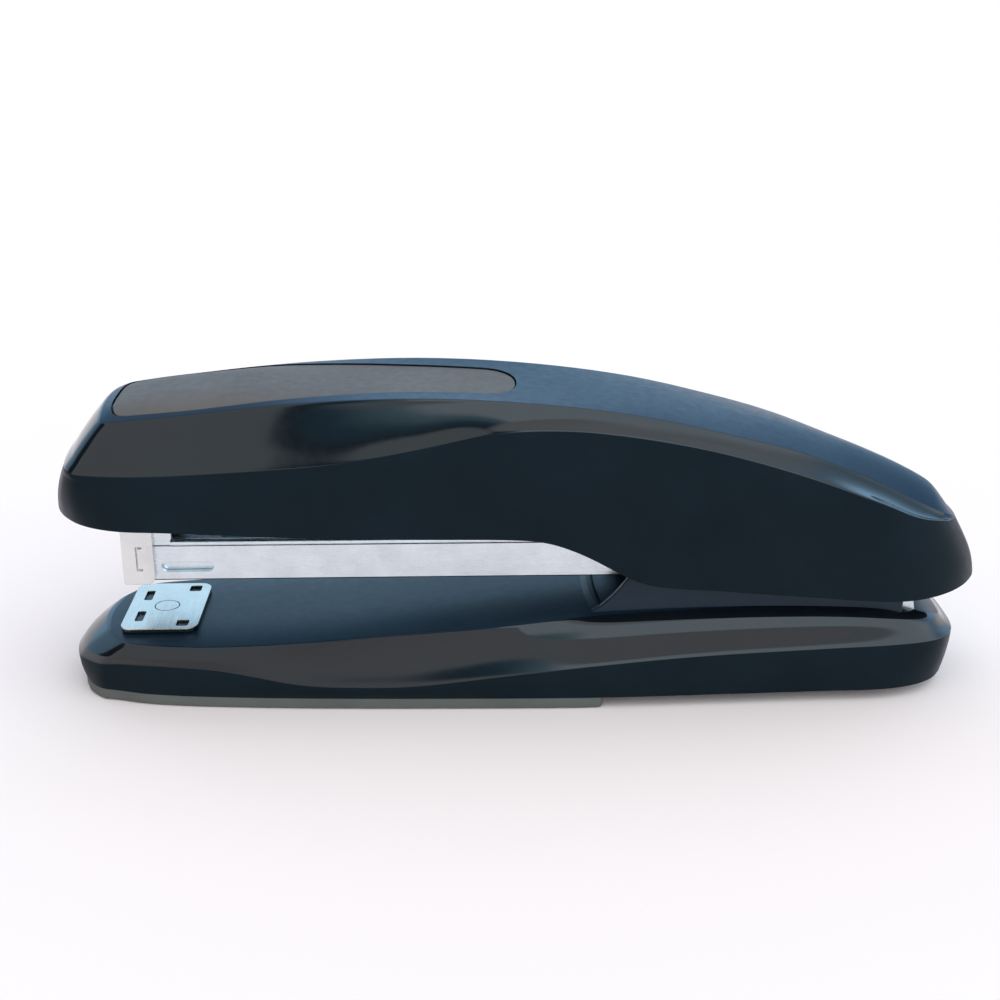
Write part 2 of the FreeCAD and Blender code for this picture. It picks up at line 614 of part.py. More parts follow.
def screw_bosses():
    """Tubes inside the base that the frame screws bite into."""
    tubes = []
    for x in FRAME_SCREWS:
        tube = cyl_z(x, 0, 3.2, FRAME_FLOOR + FRAME_SHEET, 20)
        tubes.append(tube.cut(cyl_z(x, 0, 1.3, 0, rail(DECK_EDGE, x) - BASE_WALL)))
    return tubes


def base_pad():
    """Non-slip sole under the front of the base, with a raised rib inside the shell's rim."""
    sole = base_solid(0.15, 0.0).common(slab(-90, SOLE_END, 25, 0.0, BASE_BOTTOM))
    rib = base_solid(BASE_WALL + 0.2, 3.0).common(slab(-90, SOLE_END - 4, 25, BASE_BOTTOM, 3.4))
    hole = cyl_z(ANVIL_X, 0, 4.6, -1, 5)
    heads = [cyl_z(x, 0, 3.0, 2.0, 5) for x in FRAME_SCREWS]
    body = sole.fuse(rib).cut(hole)
    for head in heads:
        body = body.cut(head)
    return body


def rear_foot():
    return rounded_rect_prism(70.5, 76.5, -9.0, 9.0, 0.0, BASE_BOTTOM + 0.8, 2.5)


def rear_sole():
    """Thin closing plate under the rear half of the base."""
    plate = base_solid(BASE_WALL + 0.1, 3.0).common(slab(SOLE_END - 3.6, 90, 25, BASE_BOTTOM, 3.2))
    return plate.cut(rear_foot()).cut(cyl_z(FRAME_SCREWS[1], 0, 3.0, 0, 8))


def lift_spring():
    """Leaf that carries the magazine above the anvil: riveted flat, then bent up to the rail."""
    seat = rail(DECK_EDGE, 50.0) + DECK_CROWN + 0.1
    half = 4.0
    thick = 0.5
    contact = MAG_BOTTOM - thick - 0.12
    low = [Vec(57.0, -half, seat), Vec(46.0, -half, seat), Vec(34.0, -half, seat + 0.6),
           Vec(22.0, -half, contact - 0.5), Vec(14.0, -half, contact)]
    curve = Part.BSplineCurve()
    curve.interpolate(low)
    upper = Part.BSplineCurve()
    upper.interpolate([p + Vec(0, 0, thick) for p in low])
    wire = Part.Wire([curve.toShape(), Part.makeLine(low[-1], low[-1] + Vec(0, 0, thick)),
                      upper.toShape(), Part.makeLine(low[0] + Vec(0, 0, thick), low[0])])
    return Part.Face(wire).extrude(Vec(0, 2 * half, 0))


# ---- anvil --------------------------------------------------------------
def anvil_plate():
    """Turnable clinching plate with a close pair and a wide pair of pockets."""
    x0 = ANVIL_X - ANVIL_LENGTH / 2
    x1 = ANVIL_X + ANVIL_LENGTH / 2
    top = ANVIL_BOTTOM + ANVIL_THICK
    plate = rounded_rect_prism(x0, x1, -ANVIL_WIDTH / 2, ANVIL_WIDTH / 2, ANVIL_BOTTOM, top, 2.2)
    reach = CROWN_SPAN / 2
    # x of the middle, width along x, inner and outer |y|
    pockets = [(x0 + POCKET_MARGIN, CLOSE_POCKET_WIDE, reach - 4.4, reach),
               (x1 - POCKET_MARGIN, FAR_POCKET_WIDE, reach - 0.4, reach + 2.2)]
    for x, wide, inner, outer in pockets:
        for lo, hi in ((inner, outer), (-outer, -inner)):
            plate = plate.cut(rounded_rect_prism(x - wide / 2, x + wide / 2, lo, hi,
                                                 top - POCKET_DEPTH, top + 1, POCKET_CORNER))
    plate = plate.cut(cyl_z(ANVIL_X, 0, STEM_R + RUN_CLEARANCE, 0, 20))
    return plate.cut(cyl_z(ANVIL_X, 0, HEAD_R + HEAD_GAP, top - HEAD_THICK - RUN_CLEARANCE, 20))


def anvil_stem():
    """Riveted pin that carries the anvil plate down through the deck."""
    top = ANVIL_BOTTOM + ANVIL_THICK
    shank = cyl_z(ANVIL_X, 0, STEM_R, 2.5, top)
    head = cyl_z(ANVIL_X, 0, HEAD_R, top - HEAD_THICK, top)
    return shank.fuse(head).removeSplitter()


def anvil_button():
    """Round foot under the base that is pushed up to turn the anvil."""
    disc = cyl_z(ANVIL_X, 0, 4.2, 1.0, 3.0).fuse(cyl_z(ANVIL_X, 0, 2.6, 3.0, BUTTON_TOP))
    return disc.removeSplitter().cut(cyl_z(ANVIL_X, 0, STEM_R, 2.5, 20))


def anvil_spring():
    """Coned spring washer round the stem, between the button and the deck boss."""
    low = BUTTON_TOP + 0.1
    high = 7.9
    sheet = 0.5
    cone = Part.makeCone(4.2, 2.6, high - low, Vec(ANVIL_X, 0, low), Vec(0, 0, 1))
    hollow = Part.makeCone(4.2 - sheet, 2.6 - sheet, high - low, Vec(ANVIL_X, 0, low), Vec(0, 0, 1))
    return cone.cut(hollow)


# ---- write --------------------------------------------------------------
NODES = {
    "handle_cover": handle_cover,
    "handle_pad": handle_pad,
    "handle_channel": handle_channel,
    "handle_screws": handle_screws,
    "driver_blade": driver_blade,
    "blade_rivet": blade_rivet,
    "handle_spring": handle_spring,
    "magazine_rail": magazine_rail,
    "front_plate": front_plate,
    "staple_core": staple_core,
    "guide_rod": guide_rod,
    "rod_stop": rod_stop,
    "rod_nose_clip": rod_nose_clip,
    "pusher": pusher,
    "pusher_spring": pusher_spring,
    "base_shell": base_shell,
    "base_frame": base_frame,
    "hinge_pin": hinge_pin,
    "pin_clips": pin_clips,
    "frame_screws": frame_screws,
    "base_pad": base_pad,
    "rear_foot": rear_foot,
    "rear_sole": rear_sole,
    "lift_spring": lift_spring,
    "anvil_plate": anvil_plate,
    "anvil_stem": anvil_stem,
    "anvil_button": anvil_button,
    "anvil_spring": anvil_spring,
}

os.makedirs("parts", exist_ok=True)
for name, make in NODES.items():
    shape = make()
    bounds = shape.optimalBoundingBox()
    print(name, "valid" if shape.isValid() else "INVALID", len(shape.Solids), "solids",
          round(shape.Volume, 1), [round(v, 2) for v in (bounds.XMin, bounds.XMax, bounds.YMin,
                                                         bounds.YMax, bounds.ZMin, bounds.ZMax)])
    shape.exportStep("parts/" + name + ".step")
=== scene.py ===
import math
from collections import namedtuple

import bmesh
import bpy
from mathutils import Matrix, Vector


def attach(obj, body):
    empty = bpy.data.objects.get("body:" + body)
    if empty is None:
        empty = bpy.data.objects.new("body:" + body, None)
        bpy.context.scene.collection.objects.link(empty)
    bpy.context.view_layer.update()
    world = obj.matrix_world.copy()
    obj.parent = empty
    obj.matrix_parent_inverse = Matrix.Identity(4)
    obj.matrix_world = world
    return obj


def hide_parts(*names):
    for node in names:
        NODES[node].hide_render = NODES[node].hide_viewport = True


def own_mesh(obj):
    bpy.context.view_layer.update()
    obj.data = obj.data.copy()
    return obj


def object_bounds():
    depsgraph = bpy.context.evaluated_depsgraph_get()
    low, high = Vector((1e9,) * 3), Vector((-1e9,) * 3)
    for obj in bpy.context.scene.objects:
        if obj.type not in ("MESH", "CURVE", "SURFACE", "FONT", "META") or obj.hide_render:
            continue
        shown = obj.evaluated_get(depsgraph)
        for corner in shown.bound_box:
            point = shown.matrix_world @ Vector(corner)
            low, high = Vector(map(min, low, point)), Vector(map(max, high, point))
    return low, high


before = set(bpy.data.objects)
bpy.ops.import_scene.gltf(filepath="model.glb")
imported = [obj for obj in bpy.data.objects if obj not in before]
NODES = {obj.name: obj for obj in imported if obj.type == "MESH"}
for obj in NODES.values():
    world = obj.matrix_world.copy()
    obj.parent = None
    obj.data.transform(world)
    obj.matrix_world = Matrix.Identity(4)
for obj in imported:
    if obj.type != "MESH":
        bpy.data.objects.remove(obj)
cad_low, cad_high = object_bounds()
MM = 0.001

# ---- small helpers ----------------------------------------------------------


def rail(points, x):
    """Value at x of a smooth line through the points (cubic Hermite)."""
    if x <= points[0][0]:
        return points[0][1]
    if x >= points[-1][0]:
        return points[-1][1]
    last = len(points) - 1
    slopes = []
    for i in range(last + 1):
        lo = points[max(i - 1, 0)]
        hi = points[min(i + 1, last)]
        slopes.append((hi[1] - lo[1]) / (hi[0] - lo[0]))
    for i in range(last):
        x0, v0 = points[i]
        x1, v1 = points[i + 1]
        if x <= x1:
            h = x1 - x0
            t = (x - x0) / h
            return (v0 * (1 + 2 * t) * (1 - t) ** 2 + slopes[i] * h * t * (1 - t) ** 2
                    + v1 * t * t * (3 - 2 * t) - slopes[i + 1] * h * t * t * (1 - t))
    return points[-1][1]


def mix(a, b, t):
    return a + (b - a) * t


def smooth(lo, hi, x):
    t = min(max((x - lo) / (hi - lo), 0.0), 1.0)
    return t * t * (3 - 2 * t)


def soft_min(a, b, width):
    """Smaller of two values, rounded where they meet."""
    h = max(width - abs(a - b), 0.0) / width
    return min(a, b) - h * h * width * 0.25


def add_object(name, mesh):
    obj = bpy.data.objects.new(name, mesh)
    bpy.context.scene.collection.objects.link(obj)
    return obj


def mesh_from(name, points, faces, kinds=None):
    """Mesh in metres from points in millimetres."""
    mesh = bpy.data.meshes.new(name)
    mesh.from_pydata([tuple(c * MM for c in p) for p in points], [], faces)
    if kinds:
        mesh.polygons.foreach_set("material_index", kinds)
    mesh.update()
    return mesh


def weld(mesh, distance=1e-5):
    bm = bmesh.new()
    bm.from_mesh(mesh)
    bmesh.ops.remove_doubles(bm, verts=bm.verts, dist=distance)
    bmesh.ops.recalc_face_normals(bm, faces=bm.faces)
    bm.to_mesh(mesh)
    bm.free()


def apply_modifiers(obj):
    graph = bpy.context.evaluated_depsgraph_get()
    done = bpy.data.meshes.new_from_object(obj.evaluated_get(graph))
    obj.modifiers.clear()
    obj.data = done


def shade(obj, angle_deg=35.0):
    """Smooth shading with hard edges above the angle."""
    mesh = obj.data
    mesh.polygons.foreach_set("use_smooth", [True] * len(mesh.polygons))
    mesh.set_sharp_from_angle(angle=math.radians(angle_deg))
    mesh.update()


def subdivide(obj, levels):
    mod = obj.modifiers.new("round", "SUBSURF")
    mod.levels = levels
    mod.render_levels = levels
    mod.use_limit_surface = False
    return mod


def set_materials(obj, mats):
    """Puts the materials on the object, keeping each face's material number."""
    numbers = [polygon.material_index for polygon in obj.data.polygons]
    obj.data.materials.clear()
    for mat in mats:
        obj.data.materials.append(mat)
    obj.data.polygons.foreach_set("material_index", [min(n, len(mats) - 1) for n in numbers])


def stand_for(obj, body, slot, *nodes):
    """The object rides the body, in place of the nodes if any are given."""
    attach(obj, body)
    if nodes:
        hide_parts(*nodes)


# ---- materials --------------------------------------------------------------
# Sizes of the patterns, in millimetres.
CLOUD_MM = 14
WEAR_MM = 1.7
PLATING_MM = 5
STREAK_MM = 0.5
METAL_EDGE_MM = 0.12
BLUR_MM = 0.04


class Finish:
    """A procedural finish: colour and roughness drift in patches, grain in the bump."""

    def __init__(self, name):
        self.mat = bpy.data.materials.new(name)
        self.mat.use_nodes = True
        self.tree = self.mat.node_tree
        self.shader = self.tree.nodes["Principled BSDF"]
        self.coords = self.tree.nodes.new("ShaderNodeTexCoord").outputs["Object"]
        self.normal = None

    def node(self, kind, **values):
        made = self.tree.nodes.new(kind)
        for key, value in values.items():
            if key in made.inputs:
                made.inputs[key].default_value = value
            else:
                setattr(made, key, value)
        return made

    def link(self, out, socket):
        self.tree.links.new(out, socket)

    def stretched(self, scale):
        made = self.node("ShaderNodeMapping")
        made.inputs["Scale"].default_value = scale
        self.link(self.coords, made.inputs["Vector"])
        return made.outputs["Vector"]

    def noise(self, size_mm, detail=3.0, stretch=(1, 1, 1), rough=0.55):
        """Noise whose features are about size_mm across."""
        made = self.node("ShaderNodeTexNoise", Scale=1.0 / (size_mm * MM), Detail=detail,
                         Roughness=rough)
        self.link(self.stretched(stretch), made.inputs["Vector"])
        return made.outputs["Fac"]

    def spread(self, value, low, high, out_low, out_high):
        made = self.node("ShaderNodeMapRange")
        made.inputs["From Min"].default_value = low
        made.inputs["From Max"].default_value = high
        made.inputs["To Min"].default_value = out_low
        made.inputs["To Max"].default_value = out_high
        self.link(value, made.inputs["Value"])
        return made.outputs["Result"]

    def blend_colour(self, factor, dark, light):
        made = self.node("ShaderNodeMix", data_type="RGBA")
        made.inputs["A"].default_value = (*dark, 1)
        made.inputs["B"].default_value = (*light, 1)
        self.link(factor, made.inputs["Factor"])
        return made.outputs["Result"]

    def darken(self, colour, low_mm, high_mm, shade):
        """The colour, darkened where the height is between the two values: a band of painted shade."""
        split = self.node("ShaderNodeSeparateXYZ")
        self.link(self.coords, split.inputs["Vector"])
        middle = 0.5 * (low_mm + high_mm) * MM
        half = 0.5 * (high_mm - low_mm) * MM
        away = self.node("ShaderNodeMath", operation="SUBTRACT")
        self.link(split.outputs["Z"], away.inputs[0])
        away.inputs[1].default_value = middle
        size = self.node("ShaderNodeMath", operation="ABSOLUTE")
        self.link(away.outputs["Value"], size.inputs[0])
        inside = self.spread(size.outputs["Value"], half + BLUR_MM * MM, half, 0.0, 1.0)
        made = self.node("ShaderNodeMix", data_type="RGBA")
        self.link(inside, made.inputs["Factor"])
        self.link(colour, made.inputs["A"])
        made.inputs["B"].default_value = (*shade, 1)
        return made.outputs["Result"]

    def bump(self, height, strength, depth_mm):
        made = self.node("ShaderNodeBump", Strength=strength, Distance=depth_mm * MM)
        self.link(height, made.inputs["Height"])
        if self.normal is not None:
            self.link(self.normal, made.inputs["Normal"])
        self.normal = made.outputs["Normal"]
        self.link(self.normal, self.shader.inputs["Normal"])

    def soften(self, radius_mm):
        """Shades edges as if they were rounded by the radius."""
        made = self.node("ShaderNodeBevel", Radius=radius_mm * MM)
        made.samples = 4
        self.normal = made.outputs["Normal"]
        self.link(self.normal, self.shader.inputs["Normal"])

    def colour(self, output):
        self.link(output, self.shader.inputs["Base Color"])

    def rough(self, output):
        self.link(output, self.shader.inputs["Roughness"])

    def set(self, **values):
        for key, value in values.items():
            self.shader.inputs[key.replace("_", " ")].default_value = value


def moulded(name, dark, light, rough, grain, level):
    """Injection-moulded plastic with a spark-eroded texture; grain is its (size, depth) in millimetres."""
    finish = Finish(name)
    cloud = finish.noise(CLOUD_MM, 4)
    finish.colour(finish.blend_colour(finish.spread(cloud, 0.3, 0.7, 0, 1), dark, light))
    wear = finish.noise(WEAR_MM, 3)
    finish.rough(finish.spread(wear, 0.3, 0.7, *rough))
    finish.bump(finish.noise(grain[0], 2), 0.5, grain[1])
    finish.set(Specular_IOR_Level=level)
    return finish


def metal(name, dark, light, rough, stretch, depth=0.006, painted_shade=()):
    """Sheet or wire metal with rolling streaks, a cloudy plating and softened edges.

    Painted shade is a list of (low, high, colour): heights, in millimetres, where the colour is darkened to
    stand in for shade.
    """
    finish = Finish(name)
    cloud = finish.noise(PLATING_MM, 4)
    shade = finish.blend_colour(finish.spread(cloud, 0.35, 0.65, 0, 1), dark, light)
    # painted shade: darker bands of colour at the given heights
    for low_mm, high_mm, colour in painted_shade:
        shade = finish.darken(shade, low_mm, high_mm, colour)
    finish.colour(shade)
    streaks = finish.noise(STREAK_MM, 4, stretch)
    finish.rough(finish.spread(streaks, 0.3, 0.7, *rough))
    finish.soften(METAL_EDGE_MM)
    finish.bump(streaks, 0.35, depth)
    finish.set(Metallic=1.0)
    return finish


# Looks: a darker and a lighter colour in linear light, the range of roughness, and the grain.
# The side look is a shaded copy of the same black plastic as the tops: darker and less reflective, as
# painted shade on the sides.
SIDE_SHADED_LOOK = {"dark": (0.004, 0.009, 0.013), "light": (0.006, 0.012, 0.017), "rough": (0.32, 0.40),
             "grain": (0.30, 0.012), "level": 0.06}
GLOSS_LOOK = {"dark": (0.004, 0.006, 0.008), "light": (0.006, 0.008, 0.010), "rough": (0.04, 0.08),
              "grain": (2.2, 0.003), "level": 0.5}
ZINC_LOOK = {"dark": (0.62, 0.67, 0.71), "light": (0.70, 0.75, 0.79), "rough": (0.20, 0.32)}
# Stretch of the streaks: along X, along Y, along Z, or even.
ALONG = (0.06, 1, 1)
ACROSS_Y = (1, 0.1, 1)
UPRIGHT = (1, 1, 0.08)
EVEN = (1, 1, 1)
# Painted shade on plated pieces, as dark bands of colour: (low, high, colour). On the rail: the shadow under
# its curled lip, and the shadow along its bottom edge.
RAIL_PAINTED_SHADE = [(28.85, 29.1, (0.10, 0.15, 0.19)), (22.1, 22.36, (0.02, 0.035, 0.045))]
# On the anvil: painted shade in its pockets and along the plate's edges.
ANVIL_PAINTED_SHADE = [(12.5, 13.2, (0.05, 0.06, 0.06))]

# The satin tops of the cover and the base, and the cheeks, are a lit copy of the same plastic: bluer and
# lighter than the sides, as painted light.
satin_black = moulded("satin_black", (0.004, 0.016, 0.034), (0.006, 0.020, 0.042), (0.30, 0.38),
                      (0.30, 0.010), 0.17)
side_shaded_black = moulded("side_shaded_black", **SIDE_SHADED_LOOK)
gloss_black = moulded("gloss_black", **GLOSS_LOOK)
base_satin = moulded("base_satin", (0.005, 0.015, 0.027), (0.007, 0.019, 0.033), (0.30, 0.38),
                     (0.30, 0.010), 0.24)
base_side_shaded = moulded("base_side_shaded", **SIDE_SHADED_LOOK)
base_gloss = moulded("base_gloss", **GLOSS_LOOK)
grip = moulded("grip_rubber", (0.088, 0.068, 0.058), (0.106, 0.083, 0.071), (0.50, 0.62), (0.45, 0.03), 0.4)
sole = moulded("sole_rubber", (0.082, 0.088, 0.078), (0.104, 0.108, 0.096), (0.55, 0.70), (0.6, 0.03), 0.35)
acetal = moulded("acetal_black", (0.012, 0.012, 0.013), (0.018, 0.018, 0.019), (0.32, 0.42),
                 (0.5, 0.008), 0.45)
zinc = metal("zinc_steel", **ZINC_LOOK, stretch=ALONG, depth=0.0025)
rail_zinc = metal("rail_steel", **ZINC_LOOK, stretch=ALONG, depth=0.0025, painted_shade=RAIL_PAINTED_SHADE)
# The staple core is the same zinc steel, painted darker and bluer than the rest as painted shade inside the
# magazine.
shaded_core_zinc = metal("shaded_core_steel", (0.11, 0.17, 0.20), (0.15, 0.22, 0.25), (0.26, 0.38), ALONG)
front_zinc = metal("front_steel", (0.66, 0.66, 0.66), (0.74, 0.73, 0.72), (0.26, 0.38), UPRIGHT)
anvil_zinc = metal("anvil_steel", (0.74, 0.66, 0.58), (0.82, 0.73, 0.64), (0.24, 0.34), ACROSS_Y,
                   0.004, ANVIL_PAINTED_SHADE)
dark_metal = metal("dark_steel", (0.16, 0.16, 0.17), (0.22, 0.22, 0.23), (0.30, 0.45), (0.1, 1, 1))
spring_metal = metal("spring_wire", (0.45, 0.46, 0.48), (0.58, 0.59, 0.60), (0.20, 0.32), EVEN)

SLOT_FINISH = {"sole_rubber": sole, "zinc_steel": zinc, "front_steel": front_zinc,
               "anvil_steel": anvil_zinc, "dark_steel": dark_metal, "spring_wire": spring_metal,
               "black_acetal": acetal}


# ---- boxed shells: a ring of columns round the body, closed by a top grid ----
ACROSS = 9          # columns across half of the nose or the tail
SIDE_COUNT = 64     # columns along one side
SIDE_EASE = 0.35    # how much they crowd at its ends
CROWN_POWERS = (3.0, 1.7)     # squareness of a top's arch, ahead of the first x and behind the second
CROWN_SPAN = (0, 50)
TOP_FIRST_SHARE = 0.965       # the row next to a top's edge, as a share of the half-width

# Blunt front of an outline: x at the centre, how far it bows back, half-width of its flat, the corner
# point, and where the long side starts.
Nose = namedtuple("Nose", "front bow half corner side_start")
# Rounded tail of an outline: where it starts, how long it is, its half-width and its fullness.
Tail = namedtuple("Tail", "start length half power")


class Shell:
    """Rows of points round a half body (y >= 0), nose centre to tail centre.

    Each row is a list of (x, y, z). The first and last ACROSS + 1 points of a row cross the
    nose and the tail, and the rest run along the side, so the last row also bounds a top grid.
    """

    def __init__(self):
        self.rows = []
        self.kinds = []

    def add(self, row, kind):
        self.rows.append(row)
        self.kinds.append(kind)

    def build(self, name, top_rows, top_kind):
        points = []
        faces = []
        kinds = []

        def put(grid_rows, row_kinds):
            start = len(points)
            width = len(grid_rows[0])
            for row in grid_rows:
                points.extend(row)
            for r in range(len(grid_rows) - 1):
                for c in range(width - 1):
                    a = start + r * width + c
                    faces.append((a, a + 1, a + 1 + width, a + width))
                    kinds.append(row_kinds[r])

        mirrored = [[(x, -y, z) for x, y, z in row] for row in self.rows]
        put(self.rows, self.kinds[1:])
        put(mirrored, self.kinds[1:])
        put(top_rows, [top_kind] * len(top_rows))
        put([[(x, -y, z) for x, y, z in row] for row in top_rows], [top_kind] * len(top_rows))
        mesh = mesh_from(name, points, faces, kinds)
        weld(mesh)
        return add_object(name, mesh)


def point_mix(a, b, t):
    return tuple(mix(p, q, t) for p, q in zip(a, b))


def lerp_row(a, b, t):
    return [point_mix(u, v, t) for u, v in zip(a, b)]


def crown(x, share):
    """Height of a top's arch from 0 at its edges to 1 at the middle, squarer towards the nose."""
    return 1 - share ** mix(*CROWN_POWERS, smooth(*CROWN_SPAN, x))


def top_grid(edge, rise, first_share=TOP_FIRST_SHARE):
    """Rows from the edge row in to the centre line, arched by rise(x) at the middle."""
    last = len(edge) - 1
    grid = [edge[ACROSS:last - ACROSS + 1]]
    for k in range(1, ACROSS + 1):
        share = first_share * (ACROSS - k) / (ACROSS - 1)
        line = [edge[ACROSS - k]]
        for x, y, z in edge[ACROSS + 1:last - ACROSS]:
            line.append((x, y * share, z + rise(x) * crown(x, share)))
        line.append(edge[last - ACROSS + k])
        grid.append(line)
    return grid


def push_row(row, amounts):
    """Moves each point of a row outwards, away from the long axis, by its own amount."""
    moved = []
    for i, (x, y, z) in enumerate(row):
        before = row[max(i - 1, 0)]
        after = row[min(i + 1, len(row) - 1)]
        tx, ty = after[0] - before[0], after[1] - before[1]
        size = math.hypot(tx, ty) or 1.0
        nx, ny = -ty / size, tx / size
        if i == 0 or i == len(row) - 1:
            ny = 0.0
            nx = math.copysign(1.0, x)
        moved.append((x + nx * amounts[i], y + ny * amounts[i], z))
    return moved


def stations(low, high, count, ease=0.0):
    """Values from low to high, crowded towards both ends by ease."""
    out = []
    for i in range(count):
        t = i / (count - 1)
        t = mix(t, t * t * (3 - 2 * t), ease)
        out.append(mix(low, high, t))
    return out


def row_outline(nose, side_end, side_y, tail_x, z_of):
    """One half outline: nose centre, nose corner, side stations, tail centre."""
    row = []
    for i in range(ACROSS):
        y = nose.half * i / (ACROSS - 1)
        row.append((nose.front + nose.bow * (y / nose.half) ** 2, y))
    row.append(nose.corner)
    for x in stations(nose.side_start, side_end, SIDE_COUNT, SIDE_EASE):
        row.append((x, side_y(x)))
    tail_y = side_y(side_end)
    for i in range(1, ACROSS + 1):
        y = tail_y * (1 - i / ACROSS)
        row.append((tail_x(y), y))
    return [(x, y, z_of(x, y)) for x, y in row]


# ---- handle cover -----------------------------------------------------------
# Long creases of the handle in side view, in millimetres, as (x, z).
TOP_CREASE = [(-92, 50.5), (-74, 53.8), (-60, 55.5), (-41, 57.5), (-20, 58.25), (0, 57.25),
              (20, 54.6), (39, 50.1), (50, 46.8), (58, 43.4), (64, 40.6), (70, 37.3), (76, 34.3), (80, 32.5)]
BAND_CREASE = [(-92, 45.9), (-70, 45.3), (-48, 46.2), (-32, 47.6), (-19, 50.0), (-8, 52.4),
               (0, 53.2), (12, 52.8), (30, 49.8), (47, 45.0), (63, 39.0), (69, 36.1),
               (72, 34.9), (75, 34.0), (77, 33.2), (80, 32.0), (81, 31.6)]
SKIRT_EDGE = [(-90, 35.6), (-66, 35.2), (-40, 33.9), (-20, 33.4), (-2, 33.1), (4, 32.4),
              (11, 29.6), (16.5, 26.4), (22, 24.0), (35, 22.8), (50, 21.5), (66, 20.3), (90, 20.1)]
# Half-width of the top, and height of its arch at the centre line, as (x, value).
TOP_HALF = [(-73.2, 12.4), (-66, 13.1), (-50, 13.5), (-25, 13.4), (10, 13.0), (38, 12.4), (50, 11.4),
            (58, 10.3), (64, 9.4), (70, 8.6), (76, 7.8), (80, 7.0)]
COVER_RISE = [(-76, 1.5), (-70, 2.1), (-60, 2.1), (-50, 1.6), (-42, 0.8), (-35, 0.35), (-22, -0.1),
              (-8, -0.25), (6, 0.0), (24, 0.5), (40, 1.0), (50, 1.6), (58, 2.3), (64, 2.8), (70, 3.4),
              (76, 3.0), (80, 1.3)]
COVER_WALL = 1.9

TOP_NOSE = Nose(-75.6, 0.8, 10.9, (-74.0, 11.75), -73.2)
TOP_NOSE_ARCH = 1.5      # extra height of the top's front edge at its middle
TOP_NOSE_HALF = 12.4
TOP_END = 78.4           # the top's sides end here and meet at the tip
TOP_TIP = 79.7
TOP_BORDER = 0.95        # least width of the band beside the top
TOP_BLEND = 1.2

BAND_HALF = 16.5
BAND_NOSE = Nose(-82.5, 1.5, 13.2, (-80.0, 14.6), -79.2)
BAND_NOSE_HALF = 15.3    # half-width where the side starts, growing to the full width over the fade
BAND_NOSE_FADE = 14.0
BAND_NOSE_LIFT = 0.4
BAND_TAIL = Tail(58.0, 22.7, BAND_HALF, 2.2)
BAND_END = 79.6

SKIRT_HALF = 16.95
SKIRT_NOSE = Nose(-85.9, 3.1, 9.5, (-81.0, 11.8), -79.4)
SKIRT_NOSE_END = -68.9   # the skirt's rounded nose ends here
SKIRT_NOSE_LONG = 17.0
SKIRT_TAIL = Tail(66.0, 19.7, SKIRT_HALF, 1.75)
SKIRT_END = 84.3


def oval_y(x, tail):
    """Half-width of a rounded tail at x."""
    if x <= tail.start:
        return tail.half
    t = min((x - tail.start) / tail.length, 1.0)
    return tail.half * (1 - t ** tail.power) ** (1 / tail.power)


def oval_x(y, tail):
    """Where a rounded tail has the half-width y."""
    return tail.start + tail.length * (1 - min(abs(y) / tail.half, 1.0) ** tail.power) ** (1 / tail.power)


def band_y(x):
    fade = min(max((x - BAND_NOSE.side_start) / BAND_NOSE_FADE, 0.0), 1.0)
    nose_half = mix(BAND_NOSE_HALF, BAND_HALF, 1 - (1 - fade) ** 2)
    return min(nose_half, oval_y(x, BAND_TAIL))


def top_y(x):
    return soft_min(rail(TOP_HALF, x), band_y(x) - TOP_BORDER, TOP_BLEND)


def skirt_y(x):
    if x < SKIRT_NOSE_END:
        return SKIRT_HALF * math.sqrt(1 - ((SKIRT_NOSE_END - x) / SKIRT_NOSE_LONG) ** 2)
    return oval_y(x, SKIRT_TAIL)


def cover_row_top():
    end_y = top_y(TOP_END)

    def height(x, y):
        arch = TOP_NOSE_ARCH * (1 - (y / TOP_NOSE_HALF) ** 2) if x < TOP_NOSE.side_start else 0.0
        return rail(TOP_CREASE, x) + arch
    return row_outline(TOP_NOSE, TOP_END, top_y, lambda y: mix(TOP_END, TOP_TIP, 1 - (y / end_y) ** 2),
                       height)


def cover_row_band():
    def height(x, y):
        return rail(BAND_CREASE, x) + (BAND_NOSE_LIFT if x < BAND_NOSE.side_start else 0.0)
    return row_outline(BAND_NOSE, BAND_END, band_y, lambda y: oval_x(y, BAND_TAIL), height)


def cover_row_skirt():
    return row_outline(SKIRT_NOSE, SKIRT_END, skirt_y, lambda y: oval_x(y, SKIRT_TAIL),
                       lambda x, y: rail(SKIRT_EDGE, x))


# ---- the cover's skin ----------------------------------------------------------
# Material numbers of both shells.
GLOSS = 0
SATIN = 1
SIDE = 2
SHELL_LEVELS = 2     # rounding steps of both shells
SHELL_SHARP = 40     # edges turning more than this, in degrees, stay crisp
# Shares of the way from the rim to the band crease, and from that crease to the top.
SIDE_STEPS = (0.0, 0.025, 0.18, 0.36, 0.54, 0.72, 0.86)
BAND_STEPS = (0.32, 0.5, 0.68, 0.84, 0.955)
# Outward bulges and inward hollows, in millimetres.
SIDE_BULGE = 0.28
NOSE_BULGE = 0.45
TAIL_BULGE = 0.5
BAND_HOLLOW = (-0.05, -0.55)      # near the nose, and from the middle on
BAND_NOSE_BULGE = 0.35
CREASE_BULGE = 0.35
CREASE_SIDE_BULGE = 0.12
# Shares of the loops beside the band crease: (where it is crisp, where it is soft).
BELOW_CREASE = (0.02, 0.10)
ABOVE_CREASE = (0.07, 0.22)
# Stretches of x over which something comes in or fades out.
NOSE_ZONE = (-78, -83)
TAIL_ZONE = (74, 84)
CREASE_SOFTENS = (-22, -58)
HOLLOW_GROWS = (-55, -5)
HOLLOW_FADES = (72, 60)
BAND_NOSE_ZONE = (-72, -76)
# The hollow that ends the band in front of the tail.
POCKET_DEEP = 1.0
POCKET_STARTS = (50, 70)
POCKET_END = 78.5
POCKET_RUNOUT = 3.5
GLOSS_END = 77.6


